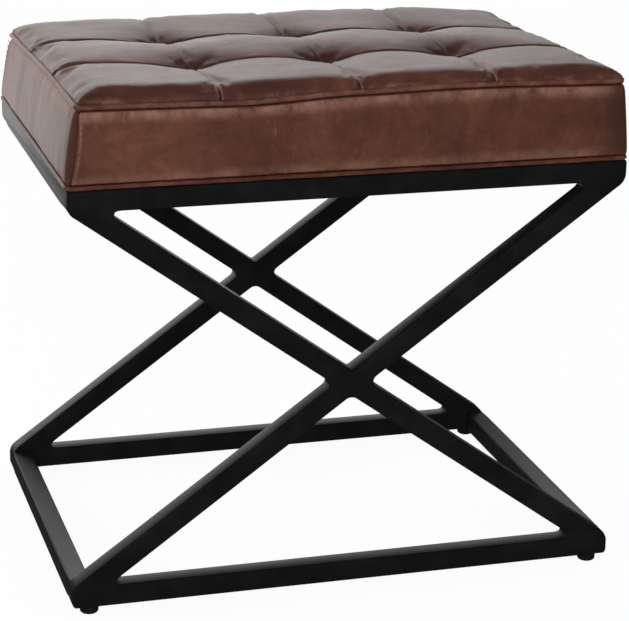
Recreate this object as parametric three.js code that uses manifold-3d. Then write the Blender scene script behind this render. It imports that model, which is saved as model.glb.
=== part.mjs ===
// X-frame footstool: a tufted leather cushion on a welded frame of square steel tube.
// Millimetres, +Z up, +X along the long side, +Y to the back. The origin is on the floor,
// under the middle of the stool.

import * as THREE from "three";
import { mergeVertices } from "three/addons/utils/BufferGeometryUtils.js";
import Module from "manifold-3d";

const wasm = await Module();
wasm.setup();

// Frame
const frameWidth = 500;
const frameDepth = 355;
const frameHeight = 376;
const tubeSize = 19;
const tubeWall = 1.5;
const tubeEdgeRadius = 2;
const tubeBoreRadius = 0.6;
const weldGap = 0.3; // root gap between two tubes that are welded together
const braceCornerRadius = 12; // ground corner where a brace runs out to the end of a rail
const baseCornerRadius = 4;
const ringEdgeRadius = 2;
const crossWeldSideRadius = 6;
const crossWeldLowRadius = 8;
const crossWeldHighRadius = 3;
const railWeldRadius = 4.5;
const weldInset = 0.9; // the fillet welds stop this far inside the tube's faces

// Levelling feet
const footHeight = 7.5;
const footDiameter = 16.5;
const footInset = 16; // from the end of the rail to the foot's axis
const footSoleDiameter = 12.5;
const footWaistDiameter = 15.2;
const footSoleRound = 1.4;
const footWaistHeight = 4;
const footRailGap = 0.2;
const studDiameter = 4.9;
const studLength = 18;
const studTipChamfer = 0.8;
const studHeadDiameter = 9;
const studHeadHeight = 1.8;
const studHeadBed = 1.6; // nylon under the stud's head
const insertBore = 5.4;
const insertBodyDiameter = 6.8;
const insertFlangeDiameter = 9.6;
const insertFlangeHeight = 0.7;
const insertLength = 13;
const fitGap = 0.2; // each side, between a piece and the hole or pocket that holds it

// Cushion
const seatOverhang = 0.5; // leather beyond the frame, each side
const seatCornerRadius = 11;
const seamHeight = 70; // top welt above the frame
const columns = 4;
const rows = 3;
const leather = 1.5;
const sewnGap = 0.3; // between two leather pieces that are sewn edge to edge
const topWeltDiameter = 4.4;
const baseWeltDiameter = 4;
const baseWeltRaise = 0.5; // base welt's underside above the frame
const weltSink = 0.7; // how far the welt's middle lies inside the leather's face
const bandBulge = 1.6;
const topInset = 6.5; // how far the top seam lies inside the band's face line
const leanShare = 0.6; // share of that inset which the band makes by leaning in evenly
const curlShare = 0.8; // share of the band's height over which it only leans
const lipWidth = 24; // leather turned under the board
const lipReturn = 3.4; // how far the lip's upstand lies behind the leather's face
const boardThickness = 12;
const foamGap = 0.3;
const rollWidth = 26; // plan width of the rounded shoulder of the top
const rollRise = 6;
const pillowRise = 4.5; // crown of one leather square over its seams
const pillowReach = 20;
const tuftDepth = 6;
const tuftReach = 17;
const dustCoverThickness = 0.5;
const dustCoverOverlap = 2.5; // how far it covers the leather lip

// Fasteners and ties
const screwDiameter = 5;
const screwTipDiameter = 2;
const screwTipLength = 3;
const screwHeadDiameter = 10;
const screwHeadHeight = 3;
const screwCrownDiameter = 6;
const screwBite = 9; // length of the screw in the board
const tieDiameter = 2;
const tieToggleDiameter = 15;
const tieToggleHeight = 1;
const tieKnotDiameter = 5;
const tieKnotHeight = 2.5;
const tieKnotDrop = 0.5; // knot's top under the foam's surface
const boardHoleDiameter = 4;

// Facets and the one length by which every cutter runs past what it cuts
const overrun = 5;
const arcSteps = 3;
const footSides = 20;
const pinSides = 12;
const weltSides = 6;

// Heights worked out from the sizes above
const baseBottom = footHeight;
const baseTop = baseBottom + tubeSize;
const ringTop = footHeight + frameHeight;
const ringBottom = ringTop - tubeSize;
const halfWidth = frameWidth / 2;
const halfDepth = frameDepth / 2;
const seatHalfWidth = halfWidth + seatOverhang;
const seatHalfDepth = halfDepth + seatOverhang;
const topHalfWidth = seatHalfWidth - topInset;
const topHalfDepth = seatHalfDepth - topInset;
const topCornerRadius = seatCornerRadius - topInset;
const boardBottom = ringTop + leather;
const boardTop = boardBottom + boardThickness;
const topWeltZ = ringTop + seamHeight;
const baseWeltZ = ringTop + baseWeltRaise + baseWeltDiameter / 2;
const bandBottom = baseWeltZ + baseWeltDiameter / 2 + sewnGap;
const bandTop = topWeltZ - topWeltDiameter / 2 - sewnGap;
const topEdgeZ = topWeltZ + topWeltDiameter / 2 + sewnGap;
const cellWidth = (2 * topHalfWidth) / columns;
const cellDepth = (2 * topHalfDepth) / rows;

// A brace leaves one outer corner of the top ring and ends at the opposite corner of the base
// ring, so its two long edges pass through those corners.
const braceClear = ringBottom - baseTop;
const braceAngle =
  Math.asin(tubeSize / Math.hypot(frameWidth, braceClear)) +
  Math.atan2(braceClear, frameWidth);
const braceMiddleZ = (ringBottom + baseTop) / 2;
const braceReach = frameWidth / Math.cos(braceAngle);

// Materials
const paint = new THREE.MeshStandardMaterial({ color: 0x1a1b1c, roughness: 0.55, metalness: 0.3 });
const zinc = new THREE.MeshStandardMaterial({ color: 0x9a9d9f, roughness: 0.4, metalness: 0.9 });
const nylon = new THREE.MeshStandardMaterial({ color: 0x121212, roughness: 0.7, metalness: 0 });
const hide = new THREE.MeshStandardMaterial({ color: 0x6b4034, roughness: 0.45, metalness: 0 });
const foamStuff = new THREE.MeshStandardMaterial({ color: 0xe6dcb8, roughness: 0.95, metalness: 0 });
const plywood = new THREE.MeshStandardMaterial({ color: 0xb8905c, roughness: 0.8, metalness: 0 });
const cloth = new THREE.MeshStandardMaterial({ color: 0x1b1b1d, roughness: 1, metalness: 0 });
const twine = new THREE.MeshStandardMaterial({ color: 0xd8cfb6, roughness: 0.9, metalness: 0 });

// Solids

// A closed three.js geometry as a solid that can be joined and cut.
function solid(geometry) {
  const bare = geometry.index ? geometry.toNonIndexed() : geometry.clone();
  bare.deleteAttribute("normal");
  bare.deleteAttribute("uv");
  const merged = mergeVertices(bare);
  return new wasm.Manifold(
    new wasm.Mesh({
      numProp: 3,
      vertProperties: merged.attributes.position.array,
      triVerts: new Uint32Array(merged.index.array),
    }),
  );
}

// Loose triangles, given as a list of coordinates, as a solid.
function bodyOf(positions) {
  const geometry = new THREE.BufferGeometry();
  geometry.setAttribute("position", new THREE.Float32BufferAttribute(positions, 3));
  return solid(geometry);
}

// A solid's surface as a three.js geometry.
function surface(body) {
  const mesh = body.getMesh();
  const positions = new Float32Array(mesh.numVert * 3);
  for (let i = 0; i < mesh.numVert; i++) {
    const start = i * mesh.numProp;
    positions.set(mesh.vertProperties.subarray(start, start + 3), i * 3);
  }
  const geometry = new THREE.BufferGeometry();
  geometry.setAttribute("position", new THREE.BufferAttribute(positions, 3));
  geometry.setIndex(new THREE.BufferAttribute(mesh.triVerts, 1));
  geometry.computeVertexNormals();
  return geometry;
}

function piece(name, body, material) {
  const mesh = new THREE.Mesh(surface(body), material);
  mesh.name = name;
  return mesh;
}

function box(x0, x1, y0, y1, z0, z1) {
  const geometry = new THREE.BoxGeometry(x1 - x0, y1 - y0, z1 - z0);
  geometry.translate((x0 + x1) / 2, (y0 + y1) / 2, (z0 + z1) / 2);
  return solid(geometry);
}

// A plan outline pulled up from z0 to z1.
function plate(shape, z0, z1) {
  const geometry = new THREE.ExtrudeGeometry(shape, {
    depth: z1 - z0,
    bevelEnabled: false,
    curveSegments: arcSteps,
  });
  geometry.translate(0, 0, z0);
  return solid(geometry);
}

// An outline drawn in the X-Z plane, given thickness from y0 to y1.
function slab(points, y0, y1) {
  const outline = points.map(([x, z]) => new THREE.Vector2(x, z));
  if (THREE.ShapeUtils.isClockWise(outline)) outline.reverse();
  const geometry = new THREE.ExtrudeGeometry(new THREE.Shape(outline), {
    depth: y1 - y0,
    bevelEnabled: false,
  });
  geometry.rotateX(Math.PI / 2);
  geometry.translate(0, y1, 0);
  return solid(geometry);
}

// A turned piece: pairs of radius and height, from the axis round to the axis or closed on itself.
function turned(profile, x, y, sides) {
  const points = profile.map(([radius, z]) => new THREE.Vector2(radius, z));
  const geometry = new THREE.LatheGeometry(points, sides);
  geometry.rotateX(Math.PI / 2);
  geometry.translate(x, y, 0);
  return solid(geometry);
}

function pin(radius, x, y, z0, z1, sides = pinSides) {
  const geometry = new THREE.CylinderGeometry(radius, radius, z1 - z0, sides);
  geometry.rotateX(Math.PI / 2);
  geometry.translate(x, y, (z0 + z1) / 2);
  return solid(geometry);
}

function roundedRectangle(halfX, halfY, radius) {
  const shape = new THREE.Shape();
  shape.moveTo(halfX, -halfY + radius);
  shape.lineTo(halfX, halfY - radius);
  shape.absarc(halfX - radius, halfY - radius, radius, 0, Math.PI / 2);
  shape.lineTo(-halfX + radius, halfY);
  shape.absarc(-halfX + radius, halfY - radius, radius, Math.PI / 2, Math.PI);
  shape.lineTo(-halfX, -halfY + radius);
  shape.absarc(-halfX + radius, -halfY + radius, radius, Math.PI, (3 * Math.PI) / 2);
  shape.lineTo(halfX - radius, -halfY);
  shape.absarc(halfX - radius, -halfY + radius, radius, (3 * Math.PI) / 2, 2 * Math.PI);
  return shape;
}

// Rings of points, one after another, skinned into a closed body. A closed loft joins the last
// ring to the first; an open one is capped at both ends.
function loft(rings, closed) {
  const count = rings[0].length;
  const positions = [];
  const triangle = (a, b, c) => positions.push(...a, ...b, ...c);
  const spans = closed ? rings.length : rings.length - 1;
  for (let i = 0; i < spans; i++) {
    const near = rings[i];
    const far = rings[(i + 1) % rings.length];
    for (let j = 0; j < count; j++) {
      const k = (j + 1) % count;
      triangle(near[j], far[j], far[k]);
      triangle(near[j], far[k], near[k]);
    }
  }
  if (!closed) {
    const last = rings[rings.length - 1];
    for (let j = 1; j < count - 1; j++) {
      triangle(rings[0][0], rings[0][j], rings[0][j + 1]);
      triangle(last[0], last[j + 1], last[j]);
    }
  }
  return bodyOf(positions);
}

// Square tube

// Length of hollow tube along X, centred on the origin.
function straightTube(length) {
  const section = roundedRectangle(tubeSize / 2, tubeSize / 2, tubeEdgeRadius);
  const boreHalf = tubeSize / 2 - tubeWall;
  const bore = roundedRectangle(boreHalf, boreHalf, tubeBoreRadius);
  section.holes.push(new THREE.Path(bore.getPoints(1).reverse()));
  const geometry = new THREE.ExtrudeGeometry(section, {
    depth: length,
    bevelEnabled: false,
    curveSegments: arcSteps,
  });
  geometry.translate(0, 0, -length / 2);
  geometry.rotateY(Math.PI / 2);
  return solid(geometry);
}

// Points of a rounded corner at `corner`, from the edge along unit vector a to the one along b.
function cornerArc(corner, a, b, radius) {
  const half = Math.acos(a[0] * b[0] + a[1] * b[1]) / 2;
  const along = radius / Math.tan(half);
  const bisector = new THREE.Vector2(a[0] + b[0], a[1] + b[1]).normalize();
  const centre = new THREE.Vector2(...corner).addScaledVector(bisector, radius / Math.sin(half));
  const first = new THREE.Vector2(corner[0] + a[0] * along, corner[1] + a[1] * along);
  const last = new THREE.Vector2(corner[0] + b[0] * along, corner[1] + b[1] * along);
  const start = Math.atan2(first.y - centre.y, first.x - centre.x);
  let sweep = Math.atan2(last.y - centre.y, last.x - centre.x) - start;
  if (sweep > Math.PI) sweep -= 2 * Math.PI;
  if (sweep < -Math.PI) sweep += 2 * Math.PI;
  const steps = 2 * arcSteps;
  const points = [];
  for (let i = 0; i <= steps; i++) {
    const angle = start + (sweep * i) / steps;
    points.push([centre.x + radius * Math.cos(angle), centre.y + radius * Math.sin(angle)]);
  }
  return points;
}

// What grinding takes off an outer corner: everything beyond the arc.
function cornerWaste(corner, a, b, radius) {
  const points = cornerArc(corner, a, b, radius);
  const bisector = new THREE.Vector2(a[0] + b[0], a[1] + b[1]).normalize();
  const far = new THREE.Vector2(...corner).addScaledVector(bisector, -overrun);
  const outwards = (direction, other) => {
    const side = new THREE.Vector2(-direction[1], direction[0]);
    return side.dot(new THREE.Vector2(...other)) > 0 ? side.negate() : side;
  };
  const outA = outwards(a, b);
  const outB = outwards(b, a);
  const first = points[0];
  const last = points[points.length - 1];
  return [
    ...points,
    [last[0] + outB.x * overrun, last[1] + outB.y * overrun],
    [far.x, far.y],
    [first[0] + outA.x * overrun, first[1] + outA.y * overrun],
  ];
}

// A fillet weld in an inside corner, with a root that reaches into the tube behind it.
function weldOutline(corner, a, b, radius) {
  const points = cornerArc(corner, a, b, radius);
  const bisector = new THREE.Vector2(a[0] + b[0], a[1] + b[1]).normalize();
  const root = new THREE.Vector2(...corner).addScaledVector(bisector, -tubeWall / 2);
  return [...points, [root.x, root.y]];
}

// The two X-shaped sides. side is -1 at the front and +1 at the back.
const sideRange = (side) =>
  side < 0 ? [-halfDepth, -halfDepth + tubeSize] : [halfDepth - tubeSize, halfDepth];

const right = [1, 0];
const left = [-1, 0];
const up = [0, 1];
const down = [0, -1];
// Directions along the braces: falling goes down to the right, rising up to the right.
const fallingRight = [Math.cos(braceAngle), -Math.sin(braceAngle)];
const fallingLeft = [-fallingRight[0], -fallingRight[1]];
const risingRight = [fallingRight[0], -fallingRight[1]];
const risingLeft = [-risingRight[0], -risingRight[1]];

// Ground corners of one side: where the braces meet the ends of the rails, and the lower corners
// of the base rail.
function groundCorners(side) {
  const [y0, y1] = sideRange(side);
  const cut = (corner, a, b, radius) =>
    slab(cornerWaste(corner, a, b, radius), y0 - overrun, y1 + overrun);
  return [
    cut([-halfWidth, ringBottom], up, fallingRight, braceCornerRadius),
    cut([halfWidth, ringBottom], up, risingLeft, braceCornerRadius),
    cut([-halfWidth, baseTop], down, risingRight, braceCornerRadius),
    cut([halfWidth, baseTop], down, fallingLeft, braceCornerRadius),
    cut([-halfWidth, baseBottom], up, right, baseCornerRadius),
    cut([halfWidth, baseBottom], up, left, baseCornerRadius),
  ];
}

// The same corners as seen by the side rails: only the part inside the X's own thickness.
function groundCornersOfSideRail(side) {
  const [y0, y1] = sideRange(side);
  const inside = box(
    -halfWidth - overrun,
    halfWidth + overrun,
    side < 0 ? y0 - overrun : y0,
    side < 0 ? y1 : y1 + overrun,
    baseBottom - overrun,
    ringTop + overrun,
  );
  return groundCorners(side).map((waste) => waste.intersect(inside));
}

// Upright edges of the rings, rounded in plan.
function ringEdgeWaste() {
  const outer = roundedRectangle(halfWidth, halfDepth, ringEdgeRadius);
  const stock = new THREE.Shape();
  const reachX = halfWidth + overrun;
  const reachY = halfDepth + overrun;
  stock.moveTo(-reachX, -reachY);
  stock.lineTo(reachX, -reachY);
  stock.lineTo(reachX, reachY);
  stock.lineTo(-reachX, reachY);
  stock.closePath();
  stock.holes.push(new THREE.Path(outer.getPoints(arcSteps).reverse()));
  return plate(stock, baseBottom - overrun, ringTop + overrun);
}

const edgeWaste = ringEdgeWaste();
const subtractAll = (body, cutters) => cutters.reduce((rest, cutter) => rest.subtract(cutter), body);

// Plan outline of a mitred rail, half of the weld gap short of each mitre.
function mitredRail(alongX, side) {
  const reach = alongX ? halfWidth : halfDepth;
  const offset = side * (alongX ? halfDepth : halfWidth);
  const inner = offset - side * tubeSize;
  const trim = weldGap / Math.SQRT2;
  const outline = [
    [-reach + trim, offset],
    [reach - trim, offset],
    [reach - tubeSize - trim, inner],
    [-reach + tubeSize + trim, inner],
  ].map(([u, v]) => (alongX ? new THREE.Vector2(u, v) : new THREE.Vector2(v, u)));
  if (THREE.ShapeUtils.isClockWise(outline)) outline.reverse();
  return new THREE.Shape(outline);
}

function rail(alongX, side, bottom) {
  const length = 2 * (alongX ? halfWidth : halfDepth) + 2 * overrun;
  const middle = side * ((alongX ? halfDepth : halfWidth) - tubeSize / 2);
  const stock = straightTube(length)
    .rotate([0, 0, alongX ? 0 : 90])
    .translate(alongX ? [0, middle, bottom + tubeSize / 2] : [middle, 0, bottom + tubeSize / 2]);
  const mitres = plate(mitredRail(alongX, side), bottom - overrun, bottom + tubeSize + overrun);
  const ends = alongX
    ? groundCorners(side)
    : [...groundCornersOfSideRail(-1), ...groundCornersOfSideRail(1)];
  return subtractAll(stock.intersect(mitres).subtract(edgeWaste), ends);
}

const railMiddleY = (side) => side * (halfDepth - tubeSize / 2);
const footX = (end) => end * (halfWidth - footInset);
const screwX = (end) => (end * frameWidth) / 4;

function baseRail(side) {
  const holes = [-1, 1].map((end) =>
    pin(
      insertBodyDiameter / 2 + fitGap,
      footX(end),
      railMiddleY(side),
      baseBottom - overrun,
      baseBottom + tubeWall + overrun,
    ),
  );
  return subtractAll(rail(true, side, baseBottom), holes);
}

// Each seat screw passes the lower wall by an access hole, so its head bears on the upper wall.
function ringRail(side) {
  const middle = ringBottom + tubeSize / 2;
  const hole = (end, radius, z0, z1) => pin(radius, screwX(end), railMiddleY(side), z0, z1);
  const holes = [-1, 1].flatMap((end) => [
    hole(end, screwHeadDiameter / 2 + 2 * fitGap, ringBottom - overrun, middle),
    hole(end, screwDiameter / 2 + fitGap, middle, ringTop + overrun),
  ]);
  return subtractAll(rail(true, side, ringBottom), holes);
}

// A full brace across one side, before its ends are cut. slope is -1 falling or +1 rising.
function braceStock(side, slope) {
  return straightTube(braceReach)
    .rotate([0, (-slope * braceAngle * 180) / Math.PI, 0])
    .translate([0, railMiddleY(side), braceMiddleZ]);
}

// Everything within `half` of the brace's centre line.
function braceZone(slope, half) {
  const along = slope < 0 ? fallingRight : risingRight;
  const across = [-along[1], along[0]];
  const corner = (s, t) => [
    s * along[0] * braceReach + t * across[0] * half,
    braceMiddleZ + s * along[1] * braceReach + t * across[1] * half,
  ];
  return slab(
    [corner(-1, -1), corner(1, -1), corner(1, 1), corner(-1, 1)],
    -halfDepth - overrun,
    halfDepth + overrun,
  );
}

// Fillet welds where a brace meets the rails, in the sharp corner at each end.
function endWelds(side, slope) {
  const [y0, y1] = sideRange(side);
  const run = tubeSize / Math.sin(braceAngle);
  const mirror = ([x, z]) => [-slope * x, z];
  const welds = [
    [[-halfWidth + run, ringBottom], right, fallingRight],
    [[halfWidth - run, baseTop], left, fallingLeft],
  ];
  return welds.map(([corner, a, b]) =>
    slab(
      weldOutline(mirror(corner), mirror(a), mirror(b), railWeldRadius),
      y0 + weldInset,
      y1 - weldInset,
    ),
  );
}

// Fillet welds in the four inside corners of the crossing.
function crossWelds(side) {
  const [y0, y1] = sideRange(side);
  const halfX = tubeSize / 2 / Math.sin(braceAngle);
  const halfZ = tubeSize / 2 / Math.cos(braceAngle);
  const corners = [
    [[-halfX, braceMiddleZ], fallingLeft, risingLeft, crossWeldSideRadius],
    [[halfX, braceMiddleZ], risingRight, fallingRight, crossWeldSideRadius],
    [[0, braceMiddleZ + halfZ], fallingLeft, risingRight, crossWeldHighRadius],
    [[0, braceMiddleZ - halfZ], risingLeft, fallingRight, crossWeldLowRadius],
  ];
  return corners.map(([corner, a, b, radius]) =>
    slab(weldOutline(corner, a, b, radius), y0 + weldInset, y1 - weldInset),
  );
}

// Cuts a brace's ends level with the rails, grinds its outer corners and joins its welds on.
function finishBrace(side, stock, welds) {
  const levels = box(
    -halfWidth - overrun,
    halfWidth + overrun,
    -halfDepth - overrun,
    halfDepth + overrun,
    baseTop + weldGap,
    ringBottom - weldGap,
  );
  const welded = welds.reduce((body, weld) => body.add(weld), stock);
  return subtractAll(welded.intersect(levels).subtract(edgeWaste), groundCorners(side));
}

const zoneWithGap = (slope) => braceZone(slope, tubeSize / 2 + weldGap);

function throughBrace(side) {
  const otherBrace = zoneWithGap(1);
  const cross = crossWelds(side).map((weld) => weld.subtract(otherBrace));
  return finishBrace(side, braceStock(side, -1), [...cross, ...endWelds(side, -1)]);
}

// One half of the rising brace. half is -1 for the lower and +1 for the upper.
function halfBrace(side, half) {
  const keep = box(
    -halfWidth - overrun,
    halfWidth + overrun,
    -halfDepth - overrun,
    halfDepth + overrun,
    half < 0 ? baseBottom : braceMiddleZ,
    half < 0 ? braceMiddleZ : ringTop,
  );
  const body = finishBrace(side, braceStock(side, 1), endWelds(side, 1));
  const parts = body.subtract(zoneWithGap(-1)).decompose();
  const kept = parts.filter((part) => part.intersect(keep).volume() > part.volume() / 2);
  return kept[0];
}

// Levelling foot: a nylon pad moulded on a steel stud, in a threaded insert in the base rail.
function footPad(x, y) {
  const top = footHeight - footRailGap;
  const recess = insertFlangeDiameter / 2 + fitGap;
  const recessFloor = baseBottom - insertFlangeHeight - 2 * fitGap;
  const pocket = studHeadDiameter / 2 + fitGap;
  const profile = [
    [0, 0],
    [footSoleDiameter / 2, 0],
    [footWaistDiameter / 2, footSoleRound],
    [footDiameter / 2, footWaistHeight],
    [footDiameter / 2, top],
    [recess, top],
    [recess, recessFloor],
    [pocket, recessFloor],
    [pocket, studHeadBed],
    [0, studHeadBed],
  ];
  return turned(profile, x, y, footSides);
}

function footStud(x, y) {
  const bottom = studHeadBed + fitGap;
  const head = bottom + studHeadHeight;
  const top = bottom + studLength;
  const radius = studDiameter / 2;
  const profile = [
    [0, bottom],
    [studHeadDiameter / 2, bottom],
    [studHeadDiameter / 2, head],
    [radius, head],
    [radius, top - studTipChamfer],
    [radius - studTipChamfer, top],
    [0, top],
  ];
  return turned(profile, x, y, pinSides);
}

function footInsert(x, y) {
  const bottom = baseBottom - insertFlangeHeight;
  const top = baseBottom + insertLength;
  const bore = insertBore / 2;
  const profile = [
    [bore, bottom],
    [insertFlangeDiameter / 2, bottom],
    [insertFlangeDiameter / 2, baseBottom],
    [insertBodyDiameter / 2, baseBottom],
    [insertBodyDiameter / 2, top],
    [bore, top],
    [bore, bottom],
  ];
  return turned(profile, x, y, pinSides);
}

// Cushion top

// Smooth rise from 0 at a seam to 1 away from it.
const riseFromSeam = (distance) => 1 - Math.exp(-Math.pow(distance / pillowReach, 1.4));

// Distance from u to the nearest inner seam line of a side that is split in `count`.
function seamDistance(u, half, count) {
  const pitch = (2 * half) / count;
  let nearest = Infinity;
  for (let i = 1; i < count; i++) nearest = Math.min(nearest, Math.abs(u + half - i * pitch));
  return nearest;
}

// Tufts sit where the seams cross.
function tuftPoints() {
  const points = [];
  for (let row = 1; row < rows; row++) {
    for (let column = 1; column < columns; column++) {
      points.push({
        column,
        row,
        x: -topHalfWidth + column * cellWidth,
        y: -topHalfDepth + row * cellDepth,
      });
    }
  }
  return points;
}
const tufts = tuftPoints();

// Height of the top's crown over its sewn edge, away from the rounded shoulder.
function crown(x, y) {
  const overSeams =
    riseFromSeam(seamDistance(x, topHalfWidth, columns)) *
    riseFromSeam(seamDistance(y, topHalfDepth, rows));
  let height = rollRise + pillowRise * overSeams;
  for (const tuft of tufts) {
    const distance = Math.hypot(x - tuft.x, y - tuft.y);
    height -= tuftDepth * Math.exp(-Math.pow(distance / tuftReach, 1.5));
  }
  return height;
}

// Places of the grid lines across one side. Each has the coordinate on a flat top, and `turn`,
// the angle round the shoulder: 0 at the sewn edge and a right angle where the top begins.
const seamStepShares = [0.06, 0.17, 0.33];
const shoulderTurnShares = [0, 0.3, 0.62];
function gridLines(half, count) {
  const pitch = (2 * half) / count;
  const lines = [];
  for (let cell = 0; cell < count; cell++) {
    const start = -half + cell * pitch;
    const outerLow = cell === 0;
    const outerHigh = cell === count - 1;
    if (outerLow) {
      for (const share of shoulderTurnShares) {
        const turn = (share * Math.PI) / 2;
        lines.push({ at: -half + rollWidth * (1 - Math.cos(turn)), turn });
      }
      lines.push({ at: -half + rollWidth, turn: Math.PI / 2 });
    } else {
      lines.push({ at: start, turn: Math.PI / 2, seam: cell });
      for (const share of seamStepShares) {
        lines.push({ at: start + share * pitch, turn: Math.PI / 2 });
      }
    }
    lines.push({ at: start + pitch / 2, turn: Math.PI / 2 });
    if (!outerHigh) {
      for (const share of [...seamStepShares].reverse()) {
        lines.push({ at: start + (1 - share) * pitch, turn: Math.PI / 2 });
      }
    }
  }
  lines.push({ at: half - rollWidth, turn: Math.PI / 2 });
  for (const share of [...shoulderTurnShares].reverse()) {
    const turn = (share * Math.PI) / 2;
    lines.push({ at: half - rollWidth * (1 - Math.cos(turn)), turn });
  }
  return lines;
}
const linesX = gridLines(topHalfWidth, columns);
const linesY = gridLines(topHalfDepth, rows);

// Rounds the plan corner: the square next to it is mapped on a quarter of a disc.
function roundCorner(x, y) {
  const reachX = topHalfWidth - topCornerRadius;
  const reachY = topHalfDepth - topCornerRadius;
  const u = (Math.abs(x) - reachX) / topCornerRadius;
  const v = (Math.abs(y) - reachY) / topCornerRadius;
  if (u <= 0 || v <= 0) return [x, y];
  const pulledX = u * Math.sqrt(1 - (v * v) / 2);
  const pulledY = v * Math.sqrt(1 - (u * u) / 2);
  return [
    Math.sign(x) * (reachX + pulledX * topCornerRadius),
    Math.sign(y) * (reachY + pulledY * topCornerRadius),
  ];
}

function topPoint(lineX, lineY) {
  const [x, y] = roundCorner(lineX.at, lineY.at);
  const shoulder = Math.sin(lineX.turn) * Math.sin(lineY.turn);
  return new THREE.Vector3(x, y, topEdgeZ + crown(x, y) * shoulder);
}

// Outward normal at a grid point. On the sewn edge the leather stands upright.
function topNormal(i, j) {
  const at = (a, b) => topPoint(linesX[a], linesY[b]);
  const clampX = (a) => Math.min(Math.max(a, 0), linesX.length - 1);
  const clampY = (b) => Math.min(Math.max(b, 0), linesY.length - 1);
  const onX = i === 0 || i === linesX.length - 1;
  const onY = j === 0 || j === linesY.length - 1;
  if (onX || onY) {
    const normal = new THREE.Vector3(
      onX ? Math.sign(linesX[i].at) : 0,
      onY ? Math.sign(linesY[j].at) : 0,
      0,
    );
    return normal.normalize();
  }
  const alongX = at(clampX(i + 1), j).sub(at(clampX(i - 1), j));
  const alongY = at(i, clampY(j + 1)).sub(at(i, clampY(j - 1)));
  return alongX.cross(alongY).normalize();
}

// Grid point moved `depth` under the leather's face.
function topUnder(i, j, depth) {
  const point = topPoint(linesX[i], linesY[j]);
  return point.addScaledVector(topNormal(i, j), -depth);
}

// Index pairs round the border of a grid, anticlockwise from above.
function borderOf(grid) {
  const lastI = grid.length - 1;
  const lastJ = grid[0].length - 1;
  const border = [];
  for (let i = 0; i < lastI; i++) border.push([i, 0]);
  for (let j = 0; j < lastJ; j++) border.push([lastI, j]);
  for (let i = lastI; i > 0; i--) border.push([i, lastJ]);
  for (let j = lastJ; j > 0; j--) border.push([0, j]);
  return border;
}

// Two triangles for each cell of a grid, seen from above or from below.
function gridFaces(grid, fromAbove) {
  const positions = [];
  for (let i = 0; i < grid.length - 1; i++) {
    for (let j = 0; j < grid[0].length - 1; j++) {
      const [a, b] = [grid[i][j], grid[i + 1][j]];
      const [c, d] = [grid[i + 1][j + 1], grid[i][j + 1]];
      if (fromAbove) positions.push(...a, ...b, ...c, ...a, ...c, ...d);
      else positions.push(...a, ...c, ...b, ...a, ...d, ...c);
    }
  }
  return positions;
}

// Skin between two grids of the same size, the outer one above.
function between(outer, inner) {
  const positions = [...gridFaces(outer, true), ...gridFaces(inner, false)];
  const border = borderOf(outer);
  border.forEach(([i, j], k) => {
    const [m, n] = border[(k + 1) % border.length];
    positions.push(...inner[i][j], ...inner[m][n], ...outer[m][n]);
    positions.push(...inner[i][j], ...outer[m][n], ...outer[i][j]);
  });
  return bodyOf(positions);
}

// Block from a grid down to a flat floor.
function blockUnder(grid, floor) {
  const positions = gridFaces(grid, true);
  const edge = borderOf(grid).map(([i, j]) => grid[i][j]);
  const foot = edge.map(([x, y]) => [x, y, floor]);
  edge.forEach((point, k) => {
    const next = (k + 1) % edge.length;
    positions.push(...foot[k], ...foot[next], ...edge[next]);
    positions.push(...foot[k], ...edge[next], ...point);
    if (k > 0 && next > 0) positions.push(...foot[0], ...foot[next], ...foot[k]);
  });
  return bodyOf(positions);
}

// Grid of points over the index ranges, `depth` under the face, drawn in from inner seams.
function topGrid(fromX, toX, fromY, toY, depth, seamTrim) {
  const grid = [];
  for (let i = fromX; i <= toX; i++) {
    const column = [];
    for (let j = fromY; j <= toY; j++) {
      const point = topUnder(i, j, depth);
      if (linesX[i].seam) point.x += i === fromX ? seamTrim : i === toX ? -seamTrim : 0;
      if (linesY[j].seam) point.y += j === fromY ? seamTrim : j === toY ? -seamTrim : 0;
      column.push([point.x, point.y, point.z]);
    }
    grid.push(column);
  }
  return grid;
}

const seamIndex = (lines, count) => [
  0,
  ...lines.flatMap((line, index) => (line.seam ? [index] : [])),
  lines.length - 1,
].slice(0, count + 1);
const seamsX = seamIndex(linesX, columns);
const seamsY = seamIndex(linesY, rows);

function topSquare(column, row) {
  const span = [seamsX[column], seamsX[column + 1], seamsY[row], seamsY[row + 1]];
  return between(topGrid(...span, 0, sewnGap / 2), topGrid(...span, leather, sewnGap / 2));
}

const lastX = linesX.length - 1;
const lastY = linesY.length - 1;

// How far out of its face line the side band stands at a level. It bulges, and it leans in to
// the top seam over its upper part.
function bandFace(z) {
  const share = (z - bandBottom) / (bandTop - bandBottom);
  const curl = Math.max(0, (share - curlShare) / (1 - curlShare));
  const lean = leanShare * share + (1 - leanShare) * curl * curl;
  return bandBulge * Math.sin(Math.PI * share) - topInset * lean;
}
const bandRiseShares = [0, 0.2, 0.5, 0.8, 0.91, 1];
const bandLevels = bandRiseShares.map((share) => {
  const z = bandBottom + share * (bandTop - bandBottom);
  return [bandFace(z), z];
});

// The foam's lower part, which fills the bulge of the side bands.
function foamSkirt() {
  const levels = bandLevels.filter(([, z]) => z > boardTop && z < bandTop);
  const sections = [[bandFace(boardTop), boardTop], ...levels];
  const rings = sections.map(([out, z]) => {
    const inset = leather + 2 * foamGap - out;
    const outline = roundedRectangle(
      seatHalfWidth - inset,
      seatHalfDepth - inset,
      seatCornerRadius - inset,
    );
    return outline.getPoints(arcSteps).slice(0, -1).map(({ x, y }) => [x, y, z]);
  });
  return loft(rings.reverse(), false);
}

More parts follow.
